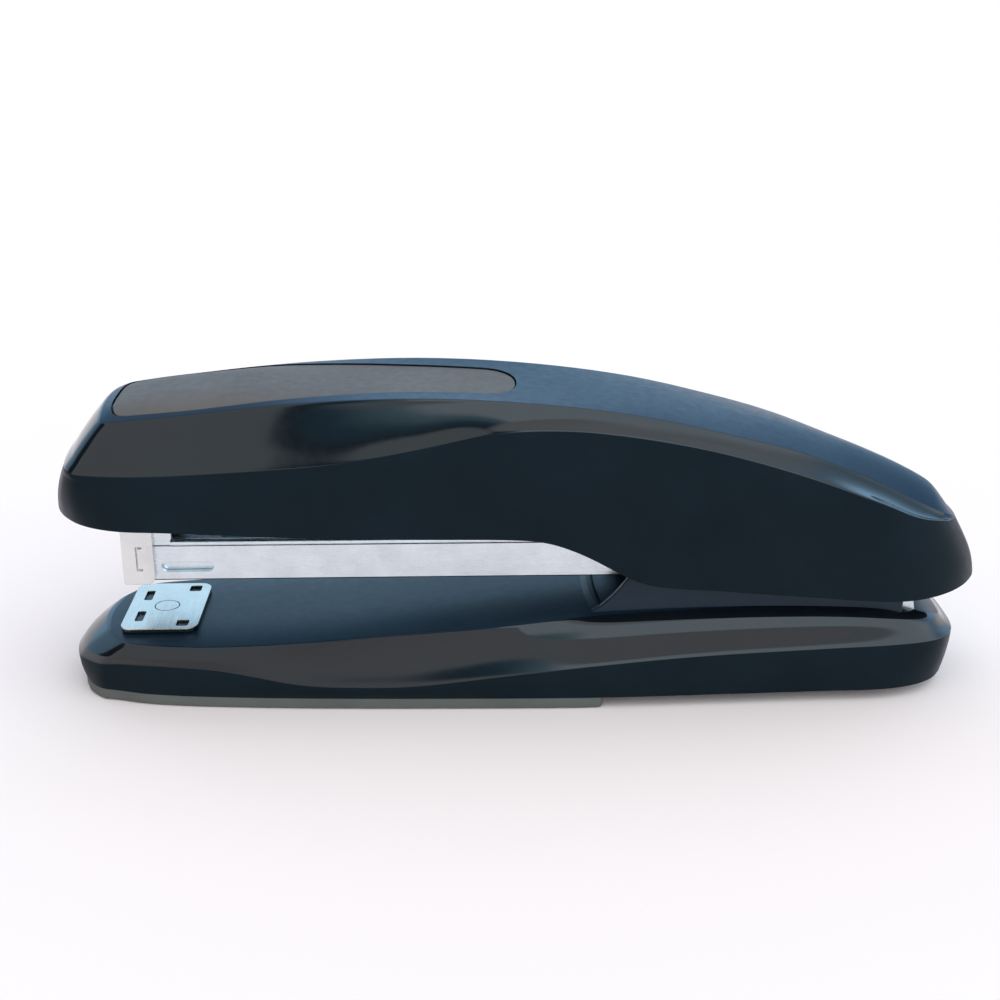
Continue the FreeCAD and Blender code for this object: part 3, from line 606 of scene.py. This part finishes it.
def pocket_depth(x):
    return POCKET_DEEP * smooth(*POCKET_STARTS, x) * smooth(POCKET_END, POCKET_END - POCKET_RUNOUT, x)


def rise_cover(x):
    return rail(COVER_RISE, x)


def cover_side_row(skirt, band, step):
    """A row of the side panel, bulging a little more at the nose and low on the tail."""
    amounts = []
    low_bulge = math.sin(math.pi * (1 - step) ** 1.5)
    for x, y, z in skirt:
        nose = smooth(*NOSE_ZONE, x)
        tail = smooth(*TAIL_ZONE, x)
        amounts.append(4 * step * (1 - step) * (SIDE_BULGE + NOSE_BULGE * nose)
                       + TAIL_BULGE * tail * low_bulge)
    return push_row(lerp_row(skirt, band, step), amounts)


def cover_band_row(band, top, step):
    """A row of the band, hollowed along the sides and bowed outwards across the nose."""
    arch = 4 * step * (1 - step)
    row = lerp_row(band, top, step)
    amounts = []
    for x, y, z in row:
        hollow = mix(*BAND_HOLLOW, smooth(*HOLLOW_GROWS, x)) * smooth(*HOLLOW_FADES, x)
        amounts.append(arch * mix(hollow, BAND_NOSE_BULGE, smooth(*BAND_NOSE_ZONE, x)))
    return [(x, y, z - arch * pocket_depth(x)) for x, y, z in push_row(row, amounts)]


def build_cover():
    skirt = cover_row_skirt()
    band = cover_row_band()
    top = cover_row_top()
    shell = Shell()
    for step in SIDE_STEPS:
        shell.add(cover_side_row(skirt, band, step), SIDE)

    # band crease: soft near the nose, crisp from the middle of the side to the tail
    soft = [smooth(*CREASE_SOFTENS, x) for x, y, z in band]
    below = [point_mix(b, s, mix(*BELOW_CREASE, k)) for b, s, k in zip(band, skirt, soft)]
    above = [point_mix(b, t, mix(*ABOVE_CREASE, k)) for b, t, k in zip(band, top, soft)]
    shell.add(push_row(below, [CREASE_SIDE_BULGE * k for k in soft]), SIDE)
    shell.add(push_row(band, [CREASE_BULGE * k for k in soft]), SIDE)
    shell.add(push_row(above, [CREASE_SIDE_BULGE * k for k in soft]), GLOSS)

    for step in BAND_STEPS:
        shell.add(cover_band_row(band, top, step), GLOSS)
    shell.add(top, GLOSS)
    skin = shell.build("cover_skin", top_grid(top, rise_cover), SATIN)
    for polygon in skin.data.polygons:
        if polygon.material_index == GLOSS and polygon.center.x > GLOSS_END * MM:
            polygon.material_index = SATIN
    return skin


def build_wall(obj, wall, levels, mats):
    """Rounds the outer skin, then thickens it inwards."""
    set_materials(obj, [finish.mat for finish in mats])
    subdivide(obj, levels)
    mod = obj.modifiers.new("wall", "SOLIDIFY")
    mod.thickness = wall * MM
    mod.offset = -1
    mod.use_even_offset = False
    apply_modifiers(obj)


def cover_top_z(x, y):
    return rail(TOP_CREASE, x) + rise_cover(x) * crown(x, abs(y / top_y(x)))


# ---- soft pad let into the top ----------------------------------------------
# Half-width of the pad along its length, as (x, half).
PAD_HALF = [(-73.6, 10.9), (-66, 11.8), (-57, 12.2), (-49, 12.0), (-42, 11.3), (-35, 10.4),
            (-22, 8.9), (-8, 8.2)]
PAD_FRONT_X = -73.6
PAD_TIP_X = -1.5
PAD_FRONT_ROUND = 3.6
PAD_FRONT_POWER = 3.2
PAD_TIP_ROUND = 6.5
PAD_TIP_POWER = 2.3
PAD_FRONT_SHARES = (0.35, 0.55, 0.7, 0.82, 0.91, 0.97)
PAD_TIP_SHARES = (0.98, 0.94, 0.87, 0.78, 0.66, 0.5, 0.32, 0.14)
PAD_ALONG = 48
PAD_ACROSS = 24
PAD_GROOVE = 0.32     # gap round the pad
PAD_SINK = 0.25       # how far the pad's top lies below the cover's
PAD_UNDER = 1.3
RECESS_DEEP = 1.35
RECESS_OVER = 3.0     # the cutting block stands this far above the cover


def round_in(share, power):
    """How far a rounded end has come in, as a share of its length, at a share of the half-width."""
    return 1 - (1 - share ** power) ** (1 / power)


def pad_columns(grow):
    """(x, half-width) from the blunt front to the rounded tip, grown outwards."""
    front = PAD_FRONT_X - grow
    tip = PAD_TIP_X + grow
    columns = []
    for share in PAD_FRONT_SHARES:
        columns.append((front + PAD_FRONT_ROUND * round_in(share, PAD_FRONT_POWER), share))
    middle_start = PAD_FRONT_X + PAD_FRONT_ROUND
    middle_end = PAD_TIP_X - PAD_TIP_ROUND
    for i in range(PAD_ALONG + 1):
        columns.append((mix(middle_start, middle_end, i / PAD_ALONG), 1.0))
    for share in PAD_TIP_SHARES:
        columns.append((tip - PAD_TIP_ROUND * round_in(share, PAD_TIP_POWER), share))
    return [(x, (rail(PAD_HALF, x) + grow) * share) for x, share in columns]


def pad_block(name, grow, top_off, bottom_off):
    """A block in the pad's outline, whose faces follow the top of the cover."""
    columns = pad_columns(grow)
    points = []
    faces = []
    width = PAD_ACROSS + 1
    for offset in (top_off, bottom_off):
        for x, half in columns:
            for j in range(width):
                y = half * (2 * j / PAD_ACROSS - 1)
                points.append((x, y, cover_top_z(x, y) + offset))
    under = len(columns) * width
    for i in range(len(columns) - 1):
        for j in range(PAD_ACROSS):
            a = i * width + j
            b = a + width
            faces.append((a, b, b + 1, a + 1))
            faces.append((under + a, under + a + 1, under + b + 1, under + b))
        for a in (i * width, (i + 1) * width + PAD_ACROSS):
            b = a + width if a % width == 0 else a - width
            faces.append((a, under + a, under + b, b))
    for start, step in ((0, 1), ((len(columns) - 1) * width + PAD_ACROSS, -1)):
        for j in range(PAD_ACROSS):
            a = start + j * step
            b = a + step
            faces.append((a, b, under + b, under + a))
    mesh = mesh_from(name, points, faces)
    weld(mesh, 1e-7)
    return add_object(name, mesh)


def cut(obj, tool):
    mod = obj.modifiers.new("cut", "BOOLEAN")
    mod.operation = "DIFFERENCE"
    mod.solver = "MANIFOLD"
    mod.object = tool
    apply_modifiers(obj)
    bpy.data.objects.remove(tool)


def bevel(obj, width, segments=3, angle=35.0):
    mod = obj.modifiers.new("edge", "BEVEL")
    mod.width = width * MM
    mod.segments = segments
    mod.limit_method = "ANGLE"
    mod.angle_limit = math.radians(angle)
    mod.harden_normals = False


cover = build_cover()
build_wall(cover, COVER_WALL, SHELL_LEVELS, [gloss_black, satin_black, side_shaded_black])
cut(cover, pad_block("pad_pocket", 0.0, RECESS_OVER, -RECESS_DEEP))
shade(cover, SHELL_SHARP)
pad = pad_block("pad_skin", -PAD_GROOVE, -PAD_SINK, -PAD_UNDER)
bevel(pad, 0.5, 4)
apply_modifiers(pad)
shade(pad, 50)
set_materials(pad, [grip.mat])
stand_for(cover, "handle", "shell_plastic", "handle_cover")
stand_for(pad, "handle", "soft_grip", "handle_pad")


# ---- base shell --------------------------------------------------------------
BASE_HALF = [(-92, 10.5), (-77, 12.6), (-70, 14.5), (-60, 15.8), (-41, 17.0), (-14, 17.8), (14, 18.1),
             (41, 17.2), (58, 16.55), (80, 16.0)]
DECK_EDGE = [(-92, 12.5), (-75, 12.1), (-56, 12.2), (-40, 13.0), (-20, 14.7), (-4, 16.0), (14, 17.2),
             (30, 17.9), (50, 18.2), (64, 17.7), (71, 16.6), (75, 15.3), (77.5, 13.9), (79, 12.9)]
BASE_CREASE = [(-86, 6.6), (-82, 7.0), (-78, 7.6), (-72, 8.2), (-66, 8.3), (-57, 7.9), (-50, 6.7),
               (-41, 5.0), (-30, 4.6), (-20, 4.9), (-4, 6.9), (14, 9.0), (31, 10.3), (57, 11.2),
               (70, 11.6), (77, 11.3), (82, 10.8)]
# How far the deck's edge lies inside the rim line, as (x, inset).
DECK_INSET = [(-80, 0.5), (-60, 0.3), (-45, 0.7), (-30, 1.3), (-15, 1.6)]
DECK_CROWN = 0.35
BASE_BULGE = 0.5
BASE_BOTTOM = 2.2
BASE_WALL = 2.0
TAIL_START = 58.0
TAIL_CAP = 1.0          # length of the tail that runs across
RIM_NOSE = Nose(-84.1, 2.3, 9.0, (-80.1, 11.0), -78.4)
CREASE_NOSE = Nose(-85.0, 1.7, 8.0, (-81.0, 10.5), -78.4)
DECK_NOSE = Nose(-79.0, 1.4, 7.6, (-75.8, 10.2), -73.6)
# Ends and fullness of the three tails.
RIM_TIP, RIM_POWER = 80.4, 2.8
CREASE_TIP, CREASE_POWER = 81.2, 3.3
DECK_TIP, DECK_POWER = 79.0, 3.0
CORNER_SHARE = 0.7      # share of a growth that a nose corner moves, both ways


def base_row(nose, grow, tip, power, z_of):
    """An outline of the base whose sides stand off the rim line by grow(x)."""
    tail = Tail(TAIL_START, tip - TAIL_START, rail(BASE_HALF, TAIL_START) + grow(TAIL_START), power)

    def side_y(x):
        if x <= TAIL_START:
            return rail(BASE_HALF, x) + grow(x)
        return oval_y(x, tail)
    return row_outline(nose, tip - TAIL_CAP, side_y, lambda y: oval_x(y, tail), z_of)


def base_rim_row(grow=0.0):
    corner_x, corner_y = RIM_NOSE.corner
    nose = RIM_NOSE._replace(front=RIM_NOSE.front - grow,
                             corner=(corner_x - grow * CORNER_SHARE, corner_y + grow * CORNER_SHARE))
    return base_row(nose, lambda x: grow, RIM_TIP + grow, RIM_POWER, lambda x, y: BASE_BOTTOM)


def base_crease_row():
    return base_row(CREASE_NOSE, lambda x: BASE_BULGE, CREASE_TIP, CREASE_POWER,
                    lambda x, y: rail(BASE_CREASE, x))


def base_deck_row():
    return base_row(DECK_NOSE, lambda x: -rail(DECK_INSET, x), DECK_TIP, DECK_POWER,
                    lambda x, y: rail(DECK_EDGE, x))


# Outward push that turns the straight crease-to-deck line into a flat shoulder (share, millimetres).
SHOULDER = [(0.0, 0.0), (0.3, 0.7), (0.5, 1.3), (0.72, 1.9), (0.86, 1.45), (0.95, 0.6), (1.0, 0.0)]
SHOULDER_INSET = 2.4
SHOULDER_STARTS = (-6, 16)
SHOULDER_ENDS = (79, 70)
# Shares of the way from the rim to the crease, and from the crease to the deck.
BASE_SIDE_STEPS = (0.0, 0.04, 0.3, 0.6, 0.85)
BASE_BAND_STEPS = (0.3, 0.5, 0.72, 0.86, 0.95)
BASE_SIDE_BULGE = 0.25
BASE_CREASE_LOOP = 0.05
BASE_NOSE_BULGE = 0.7
BASE_BAND_HOLLOW = -0.3
BASE_NOSE_FADES = (-66, -40)
DECK_FIRST_SHARE = 0.972


def shoulder_share(x):
    return smooth(*SHOULDER_STARTS, x) * smooth(*SHOULDER_ENDS, x)


def base_band_row(crease, deck, step):
    """A row of the band: bowed at the nose, hollow along the front half, shouldered further back."""
    row = lerp_row(crease, deck, step)
    bow = []
    for x, y, z in row:
        plain = 4 * step * (1 - step) * mix(BASE_NOSE_BULGE, BASE_BAND_HOLLOW, smooth(*BASE_NOSE_FADES, x))
        bow.append(mix(plain, rail(SHOULDER, step), shoulder_share(x)))
    return push_row(row, bow)


def build_base():
    rim = base_rim_row()
    crease = base_crease_row()
    deck = base_deck_row()
    deck = push_row(deck, [-SHOULDER_INSET * shoulder_share(x) for x, y, z in deck])
    shell = Shell()
    for step in BASE_SIDE_STEPS:
        row = lerp_row(rim, crease, step)
        shell.add(push_row(row, [BASE_SIDE_BULGE * math.sin(math.pi * step)] * len(row)), SIDE)
    shell.add(lerp_row(crease, rim, BASE_CREASE_LOOP), SIDE)
    shell.add(crease, SIDE)
    shell.add(lerp_row(crease, deck, BASE_CREASE_LOOP), GLOSS)
    for step in BASE_BAND_STEPS:
        shell.add(base_band_row(crease, deck, step), GLOSS)
    shell.add(deck, GLOSS)
    return shell.build("base_skin", top_grid(deck, lambda x: DECK_CROWN, DECK_FIRST_SHARE), SATIN)


# ---- hinge cheeks that rise from the deck ------------------------------------
CHEEK_Y = (11.6, 13.2)
PIVOT_X = 66.0
PIVOT_Z = 25.5
EAR_R = 4.6
# Scooped front and top edge of a cheek, then, after the round ear, its rear and bottom, as (x, z).
CHEEK_LINE = [(5.0, 14.2), (8.0, 15.2), (11.0, 16.6), (13.6, 18.2), (15.6, 20.1), (17.2, 22.0),
              (18.2, 23.4), (19.4, 24.6), (21.2, 25.7), (24.0, 26.7), (34.0, 27.7), (48.0, 28.3),
              (60.0, 29.1)]
CHEEK_REAR = [(69.4, 20.0), (69.3, 15.5), (69.0, 13.0), (5.0, 12.6)]
EAR_TURNS = [100 - 12.5 * i for i in range(9)]
CHEEK_EDGE = 0.45


def plate(name, loop, rounding):
    """A slab between two copies of a closed loop of points, with rounded edges."""
    count = len(loop) // 2
    faces = [tuple(range(count)), tuple(reversed(range(count, 2 * count)))]
    for i in range(count):
        k = (i + 1) % count
        faces.append((k, i, i + count, k + count))
    mesh = mesh_from(name, loop, faces)
    weld(mesh, 1e-7)
    obj = add_object(name, mesh)
    bevel(obj, rounding, 3, 45)
    apply_modifiers(obj)
    shade(obj, 45)
    return obj


def cheek(side):
    """One flat cheek with a scooped front edge and a round ear at the pivot."""
    outline = list(CHEEK_LINE)
    for degrees in EAR_TURNS:
        turn = math.radians(degrees)
        outline.append((PIVOT_X + EAR_R * math.cos(turn), PIVOT_Z + EAR_R * math.sin(turn)))
    outline += CHEEK_REAR
    name = "base_cheek_near" if side < 0 else "base_cheek_far"
    return plate(name, [(x, side * y, z) for y in CHEEK_Y for x, z in outline], CHEEK_EDGE)


# ---- concave web that joins the cheeks in front -------------------------------
WEB_LINE = [(4.0, 14.6), (7.0, 15.2), (9.6, 16.1), (11.6, 17.1), (13.2, 18.2)]
WEB_THICK = 1.3
WEB_DROP = 0.4          # the rear face lies this much lower
WEB_BOW = 1.1           # the middle stands this far ahead of the ends
WEB_LAP = 0.3           # the ends reach this far into the cheeks
WEB_ACROSS = 14


def cheek_web():
    """Scooped front wall between the cheeks, swept across the base."""
    half = CHEEK_Y[0] + WEB_LAP
    loop = WEB_LINE + [(x + WEB_THICK, z - WEB_DROP) for x, z in reversed(WEB_LINE)]
    points = []
    faces = []
    for x, z in loop:
        for j in range(WEB_ACROSS + 1):
            y = half * (2 * j / WEB_ACROSS - 1)
            points.append((x - WEB_BOW * (1 - (y / half) ** 2), y, z))
    rows = len(loop)
    width = WEB_ACROSS + 1
    for r in range(rows):
        for j in range(WEB_ACROSS):
            a = r * width + j
            b = ((r + 1) % rows) * width + j
            faces.append((a, a + 1, b + 1, b))
    faces.append(tuple(r * width for r in range(rows)))
    faces.append(tuple((rows - 1 - r) * width + WEB_ACROSS for r in range(rows)))
    mesh = mesh_from("base_web", points, faces)
    weld(mesh, 1e-7)
    obj = add_object("base_web", mesh)
    bevel(obj, 0.3, 3, 50)
    subdivide(obj, 1)
    apply_modifiers(obj)
    shade(obj, 50)
    return obj


# ---- sole under the front half -----------------------------------------------
SOLE_END = 14.0
SOLE_SETBACK = 0.1      # inside the rim of the base
SOLE_LAP = 0.1          # up into the base
SOLE_EDGE = 0.4


def sole_pad():
    """Thin rubber sole with rounded edges and clipped corners at its rear end."""
    half = [(x, y) for x, y, z in base_rim_row(-SOLE_SETBACK) if x < SOLE_END - 2.0]
    half += [(SOLE_END - 0.5, half[-1][1] - 0.1), (SOLE_END, half[-1][1] - 0.9)]
    loop = half + [(x, -y) for x, y in reversed(half) if y > 0]
    return plate("sole_pad", [(x, y, z) for z in (0.0, BASE_BOTTOM + SOLE_LAP) for x, y in loop], SOLE_EDGE)


# ---- springs ------------------------------------------------------------------
END_TURNS = 1.25        # closed turns at each end of a coil
END_PITCH = 2.05        # pitch of those turns, in wire radii
COIL_SLICES = 20
WIRE_SIDES = 8
ROD_Z = 25.6
HANDLE_COIL_X = 50.0
# A coil lies between two places along its axis; the last column is a share of its length at the joint's
# limit.
Coil = namedtuple("Coil", "low high radius wire turns keep")
PUSHER_COIL = Coil(-55.9, 56.0, 1.75, 0.22, 34, 0.10)
HANDLE_COIL = Coil(28.85, 37.35, 3.6, 0.45, 5, 0.08)
LEAF_LINE = [(21.0, 21.1), (22.6, 21.5), (25.0, 21.25), (30.0, 20.1), (38.0, 18.95), (46.0, 18.68),
             (57.0, 18.68)]
LEAF_HALF = 4.0
LEAF_THICK = 0.5
LEAF_EDGE = 0.12
LEAF_STEPS = 33


def coil_height(shape, turn):
    """How far along its axis the wire has come after a number of turns, the end turns being closed."""
    closed = END_PITCH * shape.wire
    low, high = shape.low + shape.wire, shape.high - shape.wire
    if turn < END_TURNS:
        return low + closed * turn
    if turn > shape.turns - END_TURNS:
        return high - closed * (shape.turns - turn)
    share = (turn - END_TURNS) / (shape.turns - 2 * END_TURNS)
    return mix(low + closed * END_TURNS, high - closed * END_TURNS, share)


def coil(name, shape, place):
    """Round wire wound into a coil; place(u, v, w) puts a point whose height along the axis is w."""
    points = []
    for i in range(shape.turns * COIL_SLICES + 1):
        turn = i / COIL_SLICES
        height = coil_height(shape, turn)
        angle = 2 * math.pi * turn
        for j in range(WIRE_SIDES):
            around = 2 * math.pi * j / WIRE_SIDES
            out = shape.radius + shape.wire * math.cos(around)
            points.append(place(out * math.cos(angle), out * math.sin(angle),
                                height + shape.wire * math.sin(around)))
    end = len(points)
    faces = [tuple(range(WIRE_SIDES)), tuple(reversed(range(end - WIRE_SIDES, end)))]
    for i in range(shape.turns * COIL_SLICES):
        for j in range(WIRE_SIDES):
            a = i * WIRE_SIDES + j
            b = i * WIRE_SIDES + (j + 1) % WIRE_SIDES
            faces.append((a, b, b + WIRE_SIDES, a + WIRE_SIDES))
    mesh = mesh_from(name, points, faces)
    weld(mesh, 1e-7)
    obj = add_object(name, mesh)
    shade(obj, 60)
    return obj


def lift_leaf():
    """Leaf under the magazine: flat on the deck at its rear, its tip turned down at the rail."""
    xs = stations(LEAF_LINE[0][0], LEAF_LINE[-1][0], LEAF_STEPS)
    outline = [(x, rail(LEAF_LINE, x)) for x in xs]
    outline += [(x, z + LEAF_THICK) for x, z in reversed(outline)]
    return plate("lift_leaf", [(x, y, z) for y in (-LEAF_HALF, LEAF_HALF) for x, z in outline], LEAF_EDGE)


base = build_base()
build_wall(base, BASE_WALL, SHELL_LEVELS, [base_gloss, base_satin, base_side_shaded])
shade(base, SHELL_SHARP)
cheeks = [cheek(-1), cheek(1), cheek_web()]
sole_skin = sole_pad()
stand_for(base, "base", "base_plastic", "base_shell")
for piece in cheeks:
    stand_for(piece, "base", "base_plastic")
stand_for(sole_skin, "base", "sole_rubber", "base_pad")

pusher_coil = coil("pusher_coil", PUSHER_COIL, lambda u, v, w: (w, u, ROD_Z + v))
handle_coil = coil("handle_coil", HANDLE_COIL, lambda u, v, w: (HANDLE_COIL_X + u, v, w))
leaf = lift_leaf()
stand_for(pusher_coil, "magazine", "spring_wire", "pusher_spring")
stand_for(handle_coil, "handle", "spring_wire", "handle_spring")
stand_for(leaf, "base", "spring_wire", "lift_spring")


# ---- finishes of the CAD pieces that stay ------------------------------------
SLOT_NODES = {
    "sole_rubber": ["rear_foot", "rear_sole"],
    "zinc_steel": ["magazine_rail", "staple_core", "base_frame", "handle_channel", "pusher"],
    "front_steel": ["front_plate"],
    "anvil_steel": ["anvil_plate", "anvil_stem"],
    "dark_steel": ["driver_blade", "blade_rivet", "hinge_pin", "pin_clips", "handle_screws",
                   "frame_screws", "rod_nose_clip", "guide_rod"],
    "spring_wire": ["anvil_spring"],
    "black_acetal": ["rod_stop", "anvil_button"],
}
OWN_FINISH = {"staple_core": shaded_core_zinc, "magazine_rail": rail_zinc}
for slot, members in SLOT_NODES.items():
    for member in members:
        finish = OWN_FINISH.get(member, SLOT_FINISH[slot])
        set_materials(NODES[member], [finish.mat])

for piece in cheeks:
    set_materials(piece, [base_satin.mat])
set_materials(sole_skin, [sole.mat])
for piece in (pusher_coil, handle_coil, leaf):
    set_materials(piece, [spring_metal.mat])
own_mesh(pusher_coil)
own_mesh(handle_coil)
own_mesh(leaf)

# ---- floor, light and camera ------------------------------------------------
FLOOR_HALF = 12.0
FLOOR_DROP = 0.0001
PAPER_DARK = (0.95, 0.78, 0.72)
PAPER_LIGHT = (0.97, 0.80, 0.74)
PAPER_CLOUD_MM = 300


def floor_sheet():
    corners = [(-FLOOR_HALF, -FLOOR_HALF), (FLOOR_HALF, -FLOOR_HALF),
               (FLOOR_HALF, FLOOR_HALF), (-FLOOR_HALF, FLOOR_HALF)]
    mesh = bpy.data.meshes.new("floor")
    mesh.from_pydata([(x, y, cad_low[2] - FLOOR_DROP) for x, y in corners], [], [(0, 1, 2, 3)])
    obj = add_object("floor", mesh)
    paper = Finish("paper")
    paper.colour(paper.blend_colour(paper.noise(PAPER_CLOUD_MM, 3), PAPER_DARK, PAPER_LIGHT))
    paper.set(Roughness=0.9, Specular_IOR_Level=0.1)
    set_materials(obj, [paper.mat])


def colour_ramp(tree, value, stops):
    ramp = tree.nodes.new("ShaderNodeValToRGB")
    ramp.color_ramp.interpolation = "EASE"
    elements = ramp.color_ramp.elements
    while len(elements) < len(stops):
        elements.new(0.5)
    for element, (place, colour) in zip(elements, stops):
        element.position = place
        element.color = (*colour, 1)
    tree.links.new(value, ramp.inputs["Fac"])
    return ramp.outputs["Color"]


def ranged(tree, value, low, high, kind="LINEAR"):
    """0 to 1 as the value goes from low to high."""
    step = tree.nodes.new("ShaderNodeMapRange")
    step.interpolation_type = kind
    step.inputs["From Min"].default_value = low
    step.inputs["From Max"].default_value = high
    tree.links.new(value, step.inputs["Value"])
    return step.outputs["Result"]


def colour_mix(tree, factor, first, second):
    blend = tree.nodes.new("ShaderNodeMix")
    blend.data_type = "RGBA"
    tree.links.new(factor, blend.inputs["Factor"])
    for name, value in (("A", first), ("B", second)):
        if isinstance(value, tuple):
            blend.inputs[name].default_value = (*value, 1)
        else:
            tree.links.new(value, blend.inputs[name])
    return blend.outputs["Result"]


# Light of the studio walls. Stops are (place, colour).
FRONT_SKY = [(0.0, (1.0, 1.05, 1.1)), (0.345, (0.95, 1.05, 1.1)), (0.37, (0.06, 0.10, 0.14)),
             (0.415, (0.10, 0.28, 0.42)), (0.46, (0.55, 0.95, 1.2)), (0.50, (1.8, 2.15, 2.4)),
             (1.0, (1.75, 2.1, 2.35))]           # 0 at the left of the camera, 1 at its right
BACK_SKY = [(0.0, (0.55, 0.95, 1.35)), (0.30, (0.70, 1.20, 1.70)), (0.55, (0.50, 0.80, 1.10)),
            (0.85, (1.1, 1.2, 1.3)), (1.0, (1.3, 1.35, 1.4))]   # 0 at the horizon, 1 overhead
LEFT_SKY = [(0.0, (1.0, 1.05, 1.1)), (0.30, (1.0, 1.05, 1.1)), (0.36, (0.02, 0.03, 0.04)),
            (0.58, (0.02, 0.03, 0.04)), (0.64, (0.55, 0.95, 1.35)),
            (1.0, (0.70, 1.20, 1.70))]           # 0 towards the camera, 1 away from it
CEILING = (1.3, 1.35, 1.4)
HAZE = (0.98, 1.03, 1.08)
# Where one wall gives way to the next, as parts of the direction towards the sky.
FRONT_SPAN = (-0.5, 0.5)
CEILING_FADE = (0.93, 0.98)
BACK_FADE = (-0.25, 0.30)
LEFT_FADE = (-0.72, -0.80)
HAZE_FADE = (0.13, 0.06)


def sky():
    """Studio walls: two panels with a gap on the camera's side, a ceiling, a blue wall behind, a dark
    screen far to the left, and a pale haze along the horizon."""
    world = bpy.data.worlds.new("studio")
    bpy.context.scene.world = world
    world.use_nodes = True
    tree = world.node_tree
    coords = tree.nodes.new("ShaderNodeTexCoord")
    split = tree.nodes.new("ShaderNodeSeparateXYZ")
    tree.links.new(coords.outputs["Generated"], split.inputs["Vector"])
    across, depth, height = [split.outputs[name] for name in "XYZ"]

    def fade(value, limits):
        return ranged(tree, value, *limits, "SMOOTHSTEP")

    front = colour_ramp(tree, ranged(tree, across, *FRONT_SPAN), FRONT_SKY)
    front = colour_mix(tree, fade(height, CEILING_FADE), front, CEILING)
    behind = colour_ramp(tree, height, BACK_SKY)
    whole = colour_mix(tree, fade(depth, BACK_FADE), front, behind)
    screen = colour_ramp(tree, ranged(tree, depth, -1.0, 1.0), LEFT_SKY)
    whole = colour_mix(tree, fade(across, LEFT_FADE), whole, screen)
    whole = colour_mix(tree, fade(height, HAZE_FADE), whole, HAZE)
    tree.links.new(whole, tree.nodes["Background"].inputs["Color"])


def camera(lens, target, azimuth, elevation, distance):
    """Azimuth 0 looks along +Y, and elevation is above the horizon, both in degrees."""
    lens_data = bpy.data.cameras.new("camera")
    lens_data.lens = lens
    lens_data.sensor_width = 36
    lens_data.clip_start = 0.01
    obj = bpy.data.objects.new("camera", lens_data)
    bpy.context.scene.collection.objects.link(obj)
    turn, lift = math.radians(azimuth), math.radians(elevation)
    look = Vector((math.sin(turn) * math.cos(lift), math.cos(turn) * math.cos(lift), -math.sin(lift)))
    obj.location = Vector(target) - look * distance
    obj.rotation_euler = look.to_track_quat("-Z", "Y").to_euler()
    bpy.context.scene.camera = obj


LENS = 54.0
AIM = (-0.0045, 0.0, 0.0343)
AZIMUTH = 1.5
ELEVATION = 21.0
DISTANCE = 0.2804

floor_sheet()
sky()
camera(LENS, AIM, AZIMUTH, ELEVATION, DISTANCE)
bpy.context.scene.view_settings.view_transform = "Standard"
